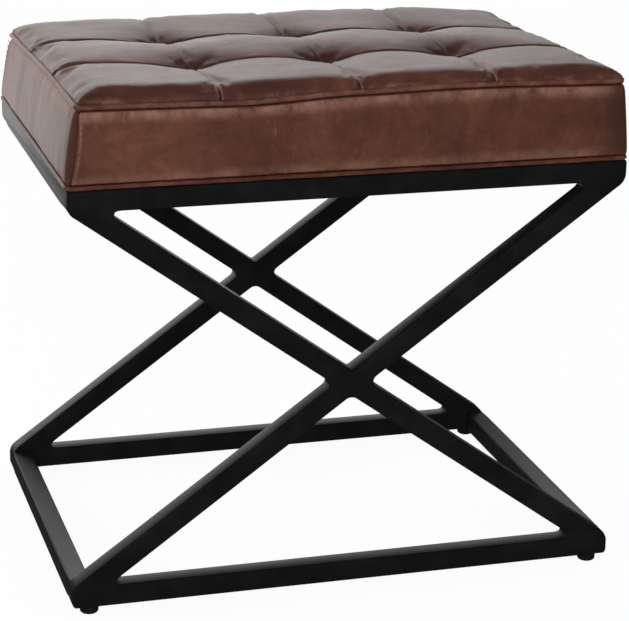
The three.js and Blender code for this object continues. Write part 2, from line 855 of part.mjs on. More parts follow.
// Foam block under the leather, with a channel for each tie and a seat for its knot.
function foamBlock() {
  const inset = topWeltDiameter / 2 + foamGap;
  const stock = blockUnder(topGrid(0, lastX, 0, lastY, leather + foamGap, 0), boardTop);
  const sides = plate(
    roundedRectangle(topHalfWidth - inset, topHalfDepth - inset, topCornerRadius - inset),
    boardTop - overrun,
    topEdgeZ + rollRise + pillowRise + overrun,
  );
  const block = stock.intersect(sides).add(foamSkirt());
  const channels = tufts.flatMap((tuft) => [
    pin(tieDiameter / 2 + fitGap, tuft.x, tuft.y, boardTop - overrun, topWeltZ + overrun),
    pin(
      tieKnotDiameter / 2 + fitGap,
      tuft.x,
      tuft.y,
      knotTop(tuft) - tieKnotHeight - fitGap,
      topWeltZ + 2 * overrun,
    ),
  ]);
  return subtractAll(block, channels);
}

// Level of the top of a tie's knot, just under the foam's surface in the tuft.
function knotTop(tuft) {
  return topEdgeZ + crown(tuft.x, tuft.y) - leather - foamGap - tieKnotDrop;
}

// Tie: a toggle under the board, a cord through board and foam, and a knot in the tuft.
function tuftTie(tuft) {
  const top = knotTop(tuft);
  const toggle = boardBottom - tieToggleHeight;
  const cord = tieDiameter / 2;
  const profile = [
    [0, toggle],
    [tieToggleDiameter / 2, toggle],
    [tieToggleDiameter / 2, boardBottom],
    [cord, boardBottom],
    [cord, top - tieKnotHeight],
    [tieKnotDiameter / 2, top - tieKnotHeight / 2],
    [cord, top],
    [0, top],
  ];
  return turned(profile, tuft.x, tuft.y, pinSides);
}

function seatBoard() {
  const inset = lipReturn + leather + foamGap;
  const radius = seatCornerRadius - inset;
  const blank = plate(
    roundedRectangle(seatHalfWidth - inset, seatHalfDepth - inset, radius),
    boardBottom,
    boardTop,
  );
  const holes = tufts.map((tuft) =>
    pin(boardHoleDiameter / 2, tuft.x, tuft.y, boardBottom - overrun, boardTop + overrun),
  );
  for (const side of [-1, 1]) {
    for (const end of [-1, 1]) {
      holes.push(
        pin(
          screwDiameter / 2 + fitGap,
          screwX(end),
          railMiddleY(side),
          boardBottom - overrun,
          boardBottom + screwBite + 2 * fitGap,
        ),
      );
    }
  }
  return subtractAll(blank, holes);
}

// Side band

// Plan path round one quarter turn each side of a panel: from just past the middle of one
// rounded corner to just past the middle of the next; the panel's sector trims both ends. Each
// station has a place on the leather's face and its outward normal.
function bandStations(alongX, side) {
  const reach = (alongX ? seatHalfWidth : seatHalfDepth) - seatCornerRadius;
  const offset = (alongX ? seatHalfDepth : seatHalfWidth) - seatCornerRadius;
  const excess = sewnGap / 2 / seatCornerRadius;
  const stations = [];
  const corner = (end, angles) => {
    for (const angle of angles) {
      const u = end * (reach + seatCornerRadius * Math.sin(angle));
      const v = side * (offset + seatCornerRadius * Math.cos(angle));
      const normal = [end * Math.sin(angle), side * Math.cos(angle)];
      stations.push({ u, v, normal, end });
    }
  };
  const quarter = Math.PI / 4 + excess;
  corner(-1, [quarter, quarter / 2, 0]);
  const middles = 4;
  for (let i = 1; i < middles; i++) {
    const share = (2 * i) / middles - 1;
    stations.push({ u: share * reach, v: side * (offset + seatCornerRadius), normal: [0, side] });
  }
  corner(1, [0, quarter / 2, quarter]);
  return stations.map(({ u, v, normal }) =>
    alongX ? { x: u, y: v, normal } : { x: v, y: u, normal: [normal[1], normal[0]] },
  );
}

function bandSection() {
  const inner = [...bandLevels].reverse().map(([out, z]) => [out - leather, z]);
  return [...bandLevels, ...inner];
}

function bandWall(alongX, side) {
  const section = bandSection();
  const rings = bandStations(alongX, side).map(({ x, y, normal }) =>
    section.map(([out, z]) => [x + normal[0] * out, y + normal[1] * out, z]),
  );
  const flipped = alongX === side > 0;
  return loft(flipped ? rings.reverse() : rings, false);
}

// Plan sector that belongs to one panel: the diagonals through the rounded corners bound it.
function bandSector(alongX, side) {
  const reachU = alongX ? seatHalfWidth : seatHalfDepth;
  const reachV = alongX ? seatHalfDepth : seatHalfWidth;
  const trim = sewnGap / Math.SQRT2;
  const points = [
    [-reachU - overrun + trim, side * (reachV + overrun)],
    [reachU + overrun - trim, side * (reachV + overrun)],
    [reachU - lipWidth - trim, side * (reachV - lipWidth)],
    [-reachU + lipWidth + trim, side * (reachV - lipWidth)],
  ].map(([u, v]) => (alongX ? new THREE.Vector2(u, v) : new THREE.Vector2(v, u)));
  if (THREE.ShapeUtils.isClockWise(points)) points.reverse();
  return plate(new THREE.Shape(points), ringTop - overrun, topWeltZ + overrun);
}

// The turned-under edge: a lip flat on the frame, an upstand behind the base welt, and the fold
// that joins it to the wall.
function bandLip() {
  const ring = (outerInset, innerInset, z0, z1) => {
    const outline = (inset) =>
      roundedRectangle(
        seatHalfWidth - inset,
        seatHalfDepth - inset,
        Math.max(seatCornerRadius - inset, tubeEdgeRadius),
      );
    return plate(outline(outerInset), z0, z1).subtract(
      plate(outline(innerInset), z0 - overrun, z1 + overrun),
    );
  };
  const lip = ring(lipReturn, lipWidth, ringTop, ringTop + leather);
  const upstand = ring(lipReturn, lipReturn + leather, ringTop, bandBottom + leather);
  const fold = ring(leather / 2, lipReturn + leather, bandBottom, bandBottom + leather);
  return lip.add(upstand).add(fold);
}

const wholeLip = bandLip();
function bandPanel(alongX, side) {
  const panel = bandWall(alongX, side).add(wholeLip).intersect(bandSector(alongX, side));
  const holes = [];
  if (alongX) {
    for (const end of [-1, 1]) {
      holes.push(
        pin(
          screwDiameter / 2 + 2 * fitGap,
          screwX(end),
          railMiddleY(side),
          ringTop - overrun,
          boardBottom + overrun,
        ),
      );
    }
  }
  return subtractAll(panel, holes);
}

// Welt: leather-covered cord in a closed loop round the cushion.
function welt(diameter, z, inset) {
  const radius = seatCornerRadius - inset;
  const centreX = seatHalfWidth - seatCornerRadius;
  const centreY = seatHalfDepth - seatCornerRadius;
  const rings = [];
  const quarterSteps = 2 * arcSteps;
  for (let quarter = 0; quarter < 4; quarter++) {
    for (let step = 0; step <= quarterSteps; step++) {
      const angle = (quarter + step / quarterSteps) * (Math.PI / 2);
      const middle = (quarter + 0.5) * (Math.PI / 2);
      const x = Math.sign(Math.cos(middle)) * centreX + radius * Math.cos(angle);
      const y = Math.sign(Math.sin(middle)) * centreY + radius * Math.sin(angle);
      const ring = [];
      for (let k = 0; k < weltSides; k++) {
        const around = (2 * Math.PI * k) / weltSides;
        const out = (diameter / 2) * Math.cos(around);
        const rise = (diameter / 2) * Math.sin(around);
        ring.push([x + Math.cos(angle) * out, y + Math.sin(angle) * out, z + rise]);
      }
      rings.push(ring);
    }
  }
  return loft(rings, true);
}

function dustCover() {
  const halfX = seatHalfWidth - lipWidth + dustCoverOverlap;
  const halfY = seatHalfDepth - lipWidth + dustCoverOverlap;
  return box(-halfX, halfX, -halfY, halfY, ringTop - dustCoverThickness, ringTop);
}

function seatScrew(end, side) {
  const bearing = ringTop - tubeWall;
  const bottom = bearing - screwHeadHeight;
  const top = boardBottom + screwBite;
  const radius = screwDiameter / 2;
  const profile = [
    [0, bottom],
    [screwCrownDiameter / 2, bottom],
    [screwHeadDiameter / 2, bottom + screwHeadHeight / 2],
    [screwHeadDiameter / 2, bearing],
    [radius, bearing],
    [radius, top - screwTipLength],
    [screwTipDiameter / 2, top],
    [0, top],
  ];
  return turned(profile, screwX(end), railMiddleY(side), pinSides);
}

// The stool
const stool = new THREE.Group();
stool.name = "x_frame_footstool";

const frame = new THREE.Group();
const feet = new THREE.Group();
const cushion = new THREE.Group();
stool.add(frame, feet, cushion);

const faces = [
  { side: -1, name: "front" },
  { side: 1, name: "back" },
];
const ends = [
  { side: -1, name: "left" },
  { side: 1, name: "right" },
];

for (const { side, name } of faces) {
  frame.add(piece(`${name}_ring_rail`, ringRail(side), paint));
  frame.add(piece(`${name}_base_rail`, baseRail(side), paint));
  frame.add(piece(`${name}_through_brace`, throughBrace(side), paint));
  frame.add(piece(`${name}_upper_half_brace`, halfBrace(side, 1), paint));
  frame.add(piece(`${name}_lower_half_brace`, halfBrace(side, -1), paint));
}
for (const { side, name } of ends) {
  frame.add(piece(`${name}_ring_rail`, rail(false, side, ringBottom), paint));
  frame.add(piece(`${name}_base_rail`, rail(false, side, baseBottom), paint));
}

for (const face of faces) {
  for (const end of ends) {
    const corner = `${face.name}_${end.name}`;
    const x = footX(end.side);
    const y = railMiddleY(face.side);
    feet.add(piece(`${corner}_foot_pad`, footPad(x, y), nylon));
    feet.add(piece(`${corner}_foot_stud`, footStud(x, y), zinc));
    feet.add(piece(`${corner}_threaded_insert`, footInsert(x, y), zinc));
    feet.add(piece(`${corner}_seat_screw`, seatScrew(end.side, face.side), zinc));
  }
}

cushion.add(piece("seat_board", seatBoard(), plywood));
cushion.add(piece("foam_block", foamBlock(), foamStuff));
cushion.add(piece("dust_cover", dustCover(), cloth));
cushion.add(piece("top_welt", welt(topWeltDiameter, topWeltZ, topInset), hide));
cushion.add(piece("base_welt", welt(baseWeltDiameter, baseWeltZ, weltSink), hide));
for (const { side, name } of faces) cushion.add(piece(`${name}_side_band`, bandPanel(true, side), hide));
for (const { side, name } of ends) cushion.add(piece(`${name}_side_band`, bandPanel(false, side), hide));
for (let row = 0; row < rows; row++) {
  for (let column = 0; column < columns; column++) {
    cushion.add(piece(`top_square_r${row + 1}_c${column + 1}`, topSquare(column, row), hide));
  }
}
for (const tuft of tufts) {
  cushion.add(piece(`tuft_tie_r${tuft.row}_c${tuft.column}`, tuftTie(tuft), twine));
}

export default stool;
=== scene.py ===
# X-frame footstool: a tufted leather box cushion on a welded frame of black square tube.
# Metres, +Z up, +X along the long side, +Y to the back, the origin on the floor under the middle.

from math import asin, atan2, ceil, cos, hypot, pi, radians, sin, tan

import bmesh
import bpy
import numpy as np
from mathutils import Matrix, Vector, noise


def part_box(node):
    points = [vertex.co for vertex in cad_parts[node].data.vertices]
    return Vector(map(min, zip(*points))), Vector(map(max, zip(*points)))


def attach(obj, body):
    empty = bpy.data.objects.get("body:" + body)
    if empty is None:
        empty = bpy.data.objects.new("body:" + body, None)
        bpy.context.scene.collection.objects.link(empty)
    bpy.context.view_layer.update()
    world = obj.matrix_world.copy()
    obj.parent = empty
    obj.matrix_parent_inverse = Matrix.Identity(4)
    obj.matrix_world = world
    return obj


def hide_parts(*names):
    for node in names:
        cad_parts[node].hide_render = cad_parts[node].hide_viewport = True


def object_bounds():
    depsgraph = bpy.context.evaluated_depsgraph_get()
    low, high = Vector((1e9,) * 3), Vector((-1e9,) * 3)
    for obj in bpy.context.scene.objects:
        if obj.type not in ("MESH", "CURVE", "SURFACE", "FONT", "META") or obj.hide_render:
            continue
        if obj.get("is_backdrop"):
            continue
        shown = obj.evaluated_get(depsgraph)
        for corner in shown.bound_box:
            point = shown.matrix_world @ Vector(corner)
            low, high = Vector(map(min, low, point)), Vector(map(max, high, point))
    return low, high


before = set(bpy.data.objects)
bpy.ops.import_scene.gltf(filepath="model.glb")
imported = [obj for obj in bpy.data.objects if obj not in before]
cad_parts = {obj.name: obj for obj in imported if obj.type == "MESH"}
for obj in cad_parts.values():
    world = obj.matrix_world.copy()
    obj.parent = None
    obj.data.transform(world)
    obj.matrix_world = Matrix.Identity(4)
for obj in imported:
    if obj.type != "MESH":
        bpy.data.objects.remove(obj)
cad_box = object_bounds()

MM = 0.001

# Frame
FRAME_WIDTH = 500 * MM
FRAME_DEPTH = 355 * MM
FRAME_HEIGHT = 376 * MM
TUBE = 19 * MM
FOOT_DROP = 7.5 * MM
TUBE_EDGE = 2.0 * MM  # radius of the tube's long edges
GROUND_CORNER = 12 * MM  # where a brace runs out to the end of a rail
BASE_CORNER = 4 * MM
RAIL_WELD = 4.5 * MM  # fillet in the sharp corner between a brace and a rail
CROSS_WELD_SIDE = 6 * MM
CROSS_WELD_LOW = 8 * MM
CROSS_WELD_HIGH = 3 * MM
CLEAN_CUT = 120 * MM  # where the long faces are divided
TUBE_WALL = 1.5 * MM
GROUND_FADE, BASE_FADE = 20 * MM, 14 * MM  # where a side rail's end blends into its two corners
END_SLANT = 1.69 * MM  # width of that blend at a ground corner
SHARP = radians(40)  # edges between faces at more than this are rounded
STEP_EDGE, END_ZONE = 9 * MM, 8 * MM  # short edges this near to a rail's end stay sharp
SCREW_POCKET = 5.4 * MM  # radius of the hole under the ring that lets a seat screw's head in

BASE_BOTTOM = FOOT_DROP
BASE_TOP = BASE_BOTTOM + TUBE
RING_TOP = FOOT_DROP + FRAME_HEIGHT
RING_BOTTOM = RING_TOP - TUBE
HALF_WIDTH = FRAME_WIDTH / 2
HALF_DEPTH = FRAME_DEPTH / 2
BRACE_CLEAR = RING_BOTTOM - BASE_TOP
BRACE_ANGLE = asin(TUBE / hypot(FRAME_WIDTH, BRACE_CLEAR)) + atan2(BRACE_CLEAR, FRAME_WIDTH)
BRACE_MIDDLE = (RING_BOTTOM + BASE_TOP) / 2
SIDES = {"front": -1, "back": 1}
ENDS = {"left": -1, "right": 1}

# Feet
FOOT_INSET = 16 * MM
PAD_DIAMETER, PAD_HEIGHT = 16.5 * MM, 7.3 * MM
SOLE_ROUND, RIM_ROUND = 2.6 * MM, 0.5 * MM
RIM_WIDTH, RECESS_DEPTH = 2.4 * MM, 1.2 * MM

# Cushion
SEAT_HALF_X, SEAT_HALF_Y = 250.5 * MM, 178 * MM  # face line of the sides
TOP_HALF_X, TOP_HALF_Y = 242.5 * MM, 172.5 * MM  # top seam
TOP_SHIFT = 3 * MM  # the top sits a little to the right
CORNER_LOW, CORNER_HIGH = 6 * MM, 4.5 * MM  # plan radius at the base seam and at the top seam
CORNER_SWELL = 3.5 * MM  # how much rounder the corners are half way up
COLUMNS, ROWS = 4, 3
LEATHER = 1.4 * MM
BOARD_TOP = 397 * MM
PLY = 1.7 * MM  # thickness of one ply of the board
TOP_WELT_Z, TOP_WELT = 453.5 * MM, 4.4 * MM
BASE_WELT_Z, BASE_WELT = 386 * MM, 4.0 * MM
BAND_LOW, BAND_HIGH = 388.3 * MM, 451 * MM
BAND_BULGE = 1.6 * MM
LEAN_SHARE = 0.85  # share of the top seam's inset which the side makes by leaning in evenly
CURL_SHARE = 0.88  # share of the side's height where it starts to curl in to the top seam
TOP_EDGE = 455 * MM
SHOULDERS_X = (38 * MM, 50 * MM)  # plan width of the rounded shoulders, left and right
SHOULDERS_Y = (22 * MM, 26 * MM)  # front and back
SEAM_RISE = 5.9 * MM  # the top's seams over its sewn edge
FRONT_TO_BACK = 2.1 * MM  # the front is this much higher than the middle
PILLOW_RISE = 3.4 * MM
TUFT_DEPTH, TUFT_REACH = 10.5 * MM, 33 * MM
NEAR_SEAM = (0, 0.4, 0.9, 1.5, 2.3, 3.3, 4.6)  # rows of points beside a seam, in millimetres
FAR_FROM_SEAM = (6.2, 8.2, 10.6, 13.4, 16.6, 20.3, 24.5, 29.5, 35.5, 42.5, 50)  # the rows beyond
NEAR_WELT = (0, 0.4, 0.9, 1.6, 2.6, 4, 6, 8.5, 11.5, 15, 19, 23.5, 28)  # rows beside a welt
TUCKS = (0.6 * MM, 1.2 * MM), (1.0 * MM, 2.2 * MM)  # inward and down, behind the welt
LIP, CORNER_LIP = 24 * MM, 5.6 * MM  # width of the turned-under lip, and its width at a corner
LIP_FADE = 20 * MM  # length over which it narrows to the corner
KNOT_DEPTH = 6 * MM  # a tie's knot under the smooth surface of the top
CROWN_RISE = 1.5 * MM  # the middle of the top over its border
MIDDLE_RISE, MIDDLE_WIDTH = 3.5 * MM, 60 * MM  # the middle row stands this much higher
ROW_SPREAD = 32 * MM  # beyond this from a column seam, a row seam is half as deep
ROW_ROLL, COLUMN_ROLL = 12 * MM, 18 * MM  # width over which the leather rolls down to a seam
RIGHT_SAG = 5 * MM  # the right shoulder's back half is this much lower
SAG_FROM_X, SAG_TO_X = 140 * MM, 225 * MM  # where the sag starts and where it is full
SAG_FROM_Y, SAG_TO_Y = -120 * MM, 60 * MM
SHOULDER_FULLNESS = 0.85  # 1 is a quarter of an ellipse, and less is squarer
FOAM_UNDER = 4.2 * MM  # the foam's skin under the smooth surface of the top
SINK_FROM, SINK_OVER = 190 * MM, 50 * MM  # where both welts start to sink in at the right
WELT_JOIN_X = -83 * MM  # where the welts' ends meet on the front
WELT_POINTS, WELT_SIDES = 620, 14
STITCH, STITCH_REACH = 3.4 * MM, 1.0 * MM  # length of a stitch, and where it starts to dip
STITCH_RADIUS = 0.33 * MM
CORNER_STITCHES, FIRST_STITCH, STITCH_PITCH = 12, 3.6 * MM, 5.0 * MM  # up from the band's lower edge
STITCH_FROM_SEAM = 2.5 * MM
STITCH_PROUD = (0.25 * MM, 0.25 * MM, 0.25 * MM, -0.3 * MM)  # out of the leather, at each corner
SHOULDER_STITCHES = (2.6, 6.8, 11.0, 15.2)  # from the welt, in millimetres
CORNER_SEAM = radians(20)  # how far round the corner a seam lies from the face that starts there

# Places along each side and how far the top seam lies over its level there, in millimetres
TOP_SEAM_LIFT = {
    "front": (
        (-243, -0.3), (-153, -1.5), (-87, -2.3), (-20, 1.2), (29, 2.2), (91, 3.4), (150, 2.8), (243, 0.6)
    ),
    "right": ((-173, 0.6), (-110, -0.5), (0, -3.0), (100, -5.0), (173, -4.5)),
    "back": ((-243, -6.0), (-180, -3.5), (-100, -1.0), (0, 0.0), (100, 0.5), (190, -1.0), (243, -4.5)),
    "left": ((-173, -0.3), (-60, 0.0), (20, -1.5), (75, -4.0), (130, -5.0), (173, -6.0)),
}

# Camera, fitted to the photograph's frame of 629 by 621 pixels
PHOTO_WIDTH, PHOTO_HEIGHT = 629, 621
CAMERA_PLACE = Vector((-0.5711, -2.01199, 0.88376))
CAMERA_AZIMUTH, CAMERA_ELEVATION, CAMERA_ROLL = -16.39, 16.44, 0.97
FOCAL_PIXELS = 2325.1
CENTRE_X, CENTRE_Y = 320.0, 250.0

# Light, where 1 is white
WORLD_FILL = 0.36
GLOSS_FRONT = 0.07
SKY_BACK, FLOOR_BACK = 1.65, 1.5


# Shader maths


def maths(operation, swapped=False):
    """Method that adds a Math node to a value, which comes last where it is swapped."""

    def method(self, *others):
        values = (*others, self) if swapped else (self, *others)
        return self.paint.add("ShaderNodeMath", {"operation": operation}, dict(enumerate(values)))

    return method


class Value:
    """A socket in a material. Python's operators on it add the Math nodes."""

    def __init__(self, paint, socket):
        self.paint, self.socket = paint, socket

    __add__, __radd__ = maths("ADD"), maths("ADD", swapped=True)
    __sub__, __rsub__ = maths("SUBTRACT"), maths("SUBTRACT", swapped=True)
    __mul__, __rmul__ = maths("MULTIPLY"), maths("MULTIPLY", swapped=True)
    __truediv__, __pow__, __abs__ = maths("DIVIDE"), maths("POWER"), maths("ABSOLUTE")
    least, most = maths("MINIMUM"), maths("MAXIMUM")
    sine, ping_pong = maths("SINE"), maths("PINGPONG")

    def smooth(self, low, high):
        """0 under low, 1 over high, with a soft step between."""
        settings = {"interpolation_type": "SMOOTHSTEP"}
        return self.paint.add("ShaderNodeMapRange", settings, {0: self, 1: low, 2: high})


class Paint:
    """A material, with one way to add its nodes."""

    def __init__(self, name, world=None):
        self.material = world or bpy.data.materials.new(name)
        self.material.use_nodes = True
        self.tree = self.material.node_tree
        self.shader = self.tree.nodes["Background" if world else "Principled BSDF"]
        self.place = self.add("ShaderNodeTexCoord", output="Generated" if world else "Object")

    def add(self, kind, settings=None, inputs=None, output=0):
        node = self.tree.nodes.new(kind)
        for name, value in (settings or {}).items():
            setattr(node, name, value)
        for name, value in (inputs or {}).items():
            self.put(node.inputs[name], value)
        return Value(self, node.outputs[output])

    def put(self, socket, value):
        if isinstance(value, Value):
            self.tree.links.new(value.socket, socket)
        else:
            socket.default_value = value

    def set(self, **values):
        """Principled sockets by their names, with _ for a space."""
        for name, value in values.items():
            self.put(self.shader.inputs[name.replace("_", " ")], value)

    def noise(self, scale, detail, roughness, stretch=None, distortion=0.0):
        place = self.place
        if stretch:
            place = self.add("ShaderNodeMapping", None, {"Vector": place, "Scale": stretch})
        inputs = {"Vector": place, "Scale": scale, "Detail": detail, "Roughness": roughness}
        return self.add("ShaderNodeTexNoise", None, {**inputs, "Distortion": distortion}, "Fac")

    def cells(self, scale, feature="F1"):
        inputs = {"Vector": self.place, "Scale": scale}
        return self.add("ShaderNodeTexVoronoi", {"feature": feature}, inputs, "Distance")

    def parts(self, vector):
        return [self.add("ShaderNodeSeparateXYZ", None, {0: vector}, axis) for axis in "XYZ"]

    def reach(self):
        """The three distances to seams which keep_reach stores at each point."""
        return self.parts(self.add("ShaderNodeAttribute", {"attribute_name": "reach"}, output="Vector"))

    def mix(self, factor, first, second):
        """Colour first at 0 and second at 1."""
        wrap = lambda c: c if isinstance(c, Value) else (*c, 1)
        inputs = {0: factor, 6: wrap(first), 7: wrap(second)}
        return self.add("ShaderNodeMix", {"data_type": "RGBA"}, inputs, 2)

    def relief(self, height, strength, distance):
        """Bump from a height, of which 1 is strength times distance, in metres."""
        inputs = {"Height": height, "Strength": strength, "Distance": distance}
        self.set(Normal=self.add("ShaderNodeBump", None, inputs, "Normal"))
        return self


# Modelling


def deselect():
    if bpy.context.object and bpy.context.object.mode != "OBJECT":
        bpy.ops.object.mode_set(mode="OBJECT")
    bpy.ops.object.select_all(action="DESELECT")


def settle(name):
    """Names the new primitive and puts its place and size into its mesh."""
    piece = bpy.context.object
    piece.name = piece.data.name = name
    bpy.ops.object.transform_apply(location=True, rotation=True, scale=True)
    return piece


def block(name, low, high, turn=0.0):
    """Block between two corners, turned about Y round its own middle."""
    deselect()
    low, high = Vector(low), Vector(high)
    bpy.ops.mesh.primitive_cube_add(
        size=1, location=(low + high) / 2, rotation=(0, turn, 0), scale=high - low
    )
    return settle(name)


def select_only(piece):
    deselect()
    bpy.context.view_layer.objects.active = piece
    piece.select_set(True)


def edit(piece, kind="EDGE", everything=False):
    select_only(piece)
    bpy.ops.object.mode_set(mode="EDIT")
    bpy.ops.mesh.select_mode(type=kind)
    bpy.ops.mesh.select_all(action="SELECT" if everything else "DESELECT")
    return bmesh.from_edit_mesh(piece.data)


def done(piece):
    bmesh.update_edit_mesh(piece.data)
    bpy.ops.object.mode_set(mode="OBJECT")


def pick_edges(piece, test):
    """Selects the edges whose middle and direction pass the test, in edit mode."""
    mesh = edit(piece)
    for edge in mesh.edges:
        first, second = (vert.co for vert in edge.verts)
        if (second - first).length > 0 and test((first + second) / 2, (second - first).normalized()):
            edge.select_set(True)
    count = sum(edge.select for edge in mesh.edges)
    bmesh.update_edit_mesh(piece.data)
    return count


def cut(piece, point, normal):
    """Cuts the piece at a plane, drops what lies on the normal's side and closes the cut."""
    edit(piece, everything=True)
    bpy.ops.mesh.bisect(plane_co=point, plane_no=normal, use_fill=True, clear_outer=True)
    done(piece)


def apply_modifier(piece, kind, **settings):
    select_only(piece)
    modifier = piece.modifiers.new(kind.lower(), kind)
    for name, value in settings.items():
        setattr(modifier, name, value)
    bpy.ops.object.modifier_apply(modifier=modifier.name)


def thicken(piece, thickness, offset=-1):
    """Gives a skin its thickness, inwards by default, and smooth shading."""
    apply_modifier(piece, "SOLIDIFY", thickness=thickness, offset=offset)
    smooth_shaded(piece)


def merge(piece, distance):
    edit(piece, everything=True)
    bpy.ops.mesh.remove_doubles(threshold=distance)
    done(piece)


def divide(piece, *places):
    """Cuts new edges round the piece at places along X."""
    for x in places:
        edit(piece, everything=True)
        bpy.ops.mesh.bisect(plane_co=(x, 0, 0), plane_no=(1, 0, 0))
        done(piece)


def boolean(piece, tool, operation="UNION"):
    apply_modifier(piece, "BOOLEAN", object=tool, operation=operation, solver="EXACT")
    bpy.data.objects.remove(tool)


def smooth_shaded(piece, angle=None):
    select_only(piece)
    if angle is None:
        bpy.ops.object.shade_smooth()
    else:
        bpy.ops.object.shade_smooth_by_angle(angle=angle)


def new_object(name, data):
    thing = bpy.data.objects.new(name, data)
    bpy.context.scene.collection.objects.link(thing)
    return thing


def finish_piece(piece, paint, slot, body, *nodes):
    piece.data.materials.clear()
    piece.data.materials.append(paint.material)
    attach(piece, body)
    if nodes:
        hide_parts(*nodes)
    return piece


# Materials


def powder_coat():
    paint = Paint("satin_black_powder_coat")
    peel, ripple, dust = paint.noise(900, 2, 0.5), paint.noise(140, 2, 0.5), paint.noise(26, 4, 0.6)
    paint.set(
        Base_Color=paint.mix(dust.smooth(0.35, 0.75), (0.0044, 0.0045, 0.0047), (0.0088, 0.0088, 0.0087)),
        Roughness=0.34 + 0.1 * dust + 0.05 * ripple,
        Specular_IOR_Level=0.3,
    )
    return paint.relief(0.65 * peel + 0.35 * ripple, 0.35, 0.00025)


def nylon():
    paint = Paint("black_nylon")
    grain, scuff = paint.noise(1400, 2, 0.6), paint.noise(120, 4, 0.7)
    paint.set(
        Base_Color=paint.mix(scuff.smooth(0.5, 0.8), (0.007, 0.007, 0.007), (0.02, 0.0195, 0.019)),
        Roughness=0.5 + 0.15 * scuff,
    )
    return paint.relief(grain, 0.25, 0.0002)


def zinc():
    paint = Paint("zinc_plate")
    spangle, stain = paint.cells(700), paint.noise(90, 4, 0.6)
    paint.set(
        Base_Color=paint.mix(stain, (0.52, 0.53, 0.54), (0.62, 0.61, 0.56)),
        Metallic=1.0,
        Roughness=0.28 + 0.15 * stain + 0.08 * spangle,
    )
    return paint.relief(spangle, 0.2, 0.00015)


# Colours mixed in over the leather: blotches, rubbed wear that also serves as painted highlight, painted
# shade together with the leather's dark tone, and scars.
BLOTCHED, PALE_WEAR_AND_HIGHLIGHT = (0.17, 0.070, 0.046), (0.30, 0.150, 0.108)
SHADE_AND_DEEP_TONE, SCARRED = (0.034, 0.0120, 0.0095), (0.24, 0.125, 0.094)
BAND_FALL = 21  # how far the leather falls away before a corner seam, in the parts of hide's form


def hide(paint, wear_and_highlight, shade_and_dark_tone, sheen, dark, pale, shine=0.0, form=0.0):
    """Waxed red-brown leather. The first mask makes it paler: rubbed wear, and painted highlight on a
    band's top edge. The second makes it darker: its own dark tone in places, and painted shade round tufts,
    in seams and grooves and where it turns from the light.
    shine what it has more of wax, and form its soft shape in parts of 0.24 mm."""
    cloud = paint.noise(9, 3, 0.6)
    blotch = paint.noise(34, 5, 0.68, distortion=0.6)
    speckle = paint.noise(210, 4, 0.7)
    scar = paint.noise(90, 2, 0.5, (1, 1, 0.25), distortion=1.2)
    pore, crackle = paint.cells(1250), paint.cells(520, "DISTANCE_TO_EDGE")
    tone = 0.5 * cloud + 0.3 * blotch + 0.2 * speckle
    base = paint.mix(tone.smooth(0.34, 0.68), dark, pale)
    for share, colour in (
        ((blotch * cloud).smooth(0.27, 0.42) * 0.3, BLOTCHED),
        (wear_and_highlight * (0.35 + 0.9 * speckle), PALE_WEAR_AND_HIGHLIGHT),
        (shade_and_dark_tone * 0.75, SHADE_AND_DEEP_TONE),
        (scar.smooth(0.7, 0.78) * 0.25, SCARRED),
    ):
        base = paint.mix(share, base, colour)
    paint.set(
        Base_Color=base,
        Roughness=0.33 + 0.13 * tone + 0.08 * wear_and_highlight - 0.03 * shade_and_dark_tone,
        Specular_IOR_Level=sheen,
        Coat_Weight=(0.1 + 0.1 * cloud + shine).most(0.0),
        Coat_Roughness=0.32,
    )
    crease = 1 - crackle.smooth(0.0, 0.12)
    return paint.relief(0.5 * pore + 0.9 * blotch + 0.5 * speckle - 0.22 * crease + form, 0.4, 0.0006)


def top_leather():
    paint = Paint("waxed_leather_top")
    edge, seam_x, seam_y = paint.reach()
    chafe = paint.noise(60, 4, 0.7)
    ridge = 1 - (abs(seam_x - 0.0021) / 0.0013).smooth(0.4, 1.4)
    wear_and_highlight = ridge * (1 - edge.smooth(0.02, 0.05)) * chafe.smooth(0.4, 0.62) * 0.7
    wear_and_highlight = wear_and_highlight.most((1 - edge.smooth(0.002, 0.009)) * chafe.smooth(0.46, 0.7) * 0.6)
    tuft = (seam_x * seam_x + seam_y * seam_y) ** 0.5
    # Painted shade: darker round the tufts, along the row and column seams, and on the front shoulder that
    # turns from the light.
    shade_and_dark_tone = (1 - tuft.smooth(0.004, 0.056)).most((1 - seam_y.smooth(0.0006, 0.005)) * 0.8)
    shade_and_dark_tone = shade_and_dark_tone.most(1 - seam_x.smooth(0.0004, 0.0014)).most((1 - edge.smooth(0.012, 0.03)) * 0.3)
    y = paint.parts(paint.place)[1]
    brushed = paint.noise(330, 4, 0.65, (0.22, 1, 1), distortion=0.4)
    patch = paint.noise(42, 4, 0.65, (0.5, 1, 1))
    shine = brushed.smooth(0.3, 0.7) * 0.2 + patch.smooth(0.3, 0.7) * 0.16 - 0.12
    shine = shine - 0.1 * y.smooth(-0.08, 0.1)
    dark, pale = (0.056, 0.0180, 0.0130), (0.118, 0.0400, 0.0270)
    return hide(paint, wear_and_highlight, shade_and_dark_tone, 0.5, dark, pale, shine, 0.8 * brushed + 0.8 * patch)


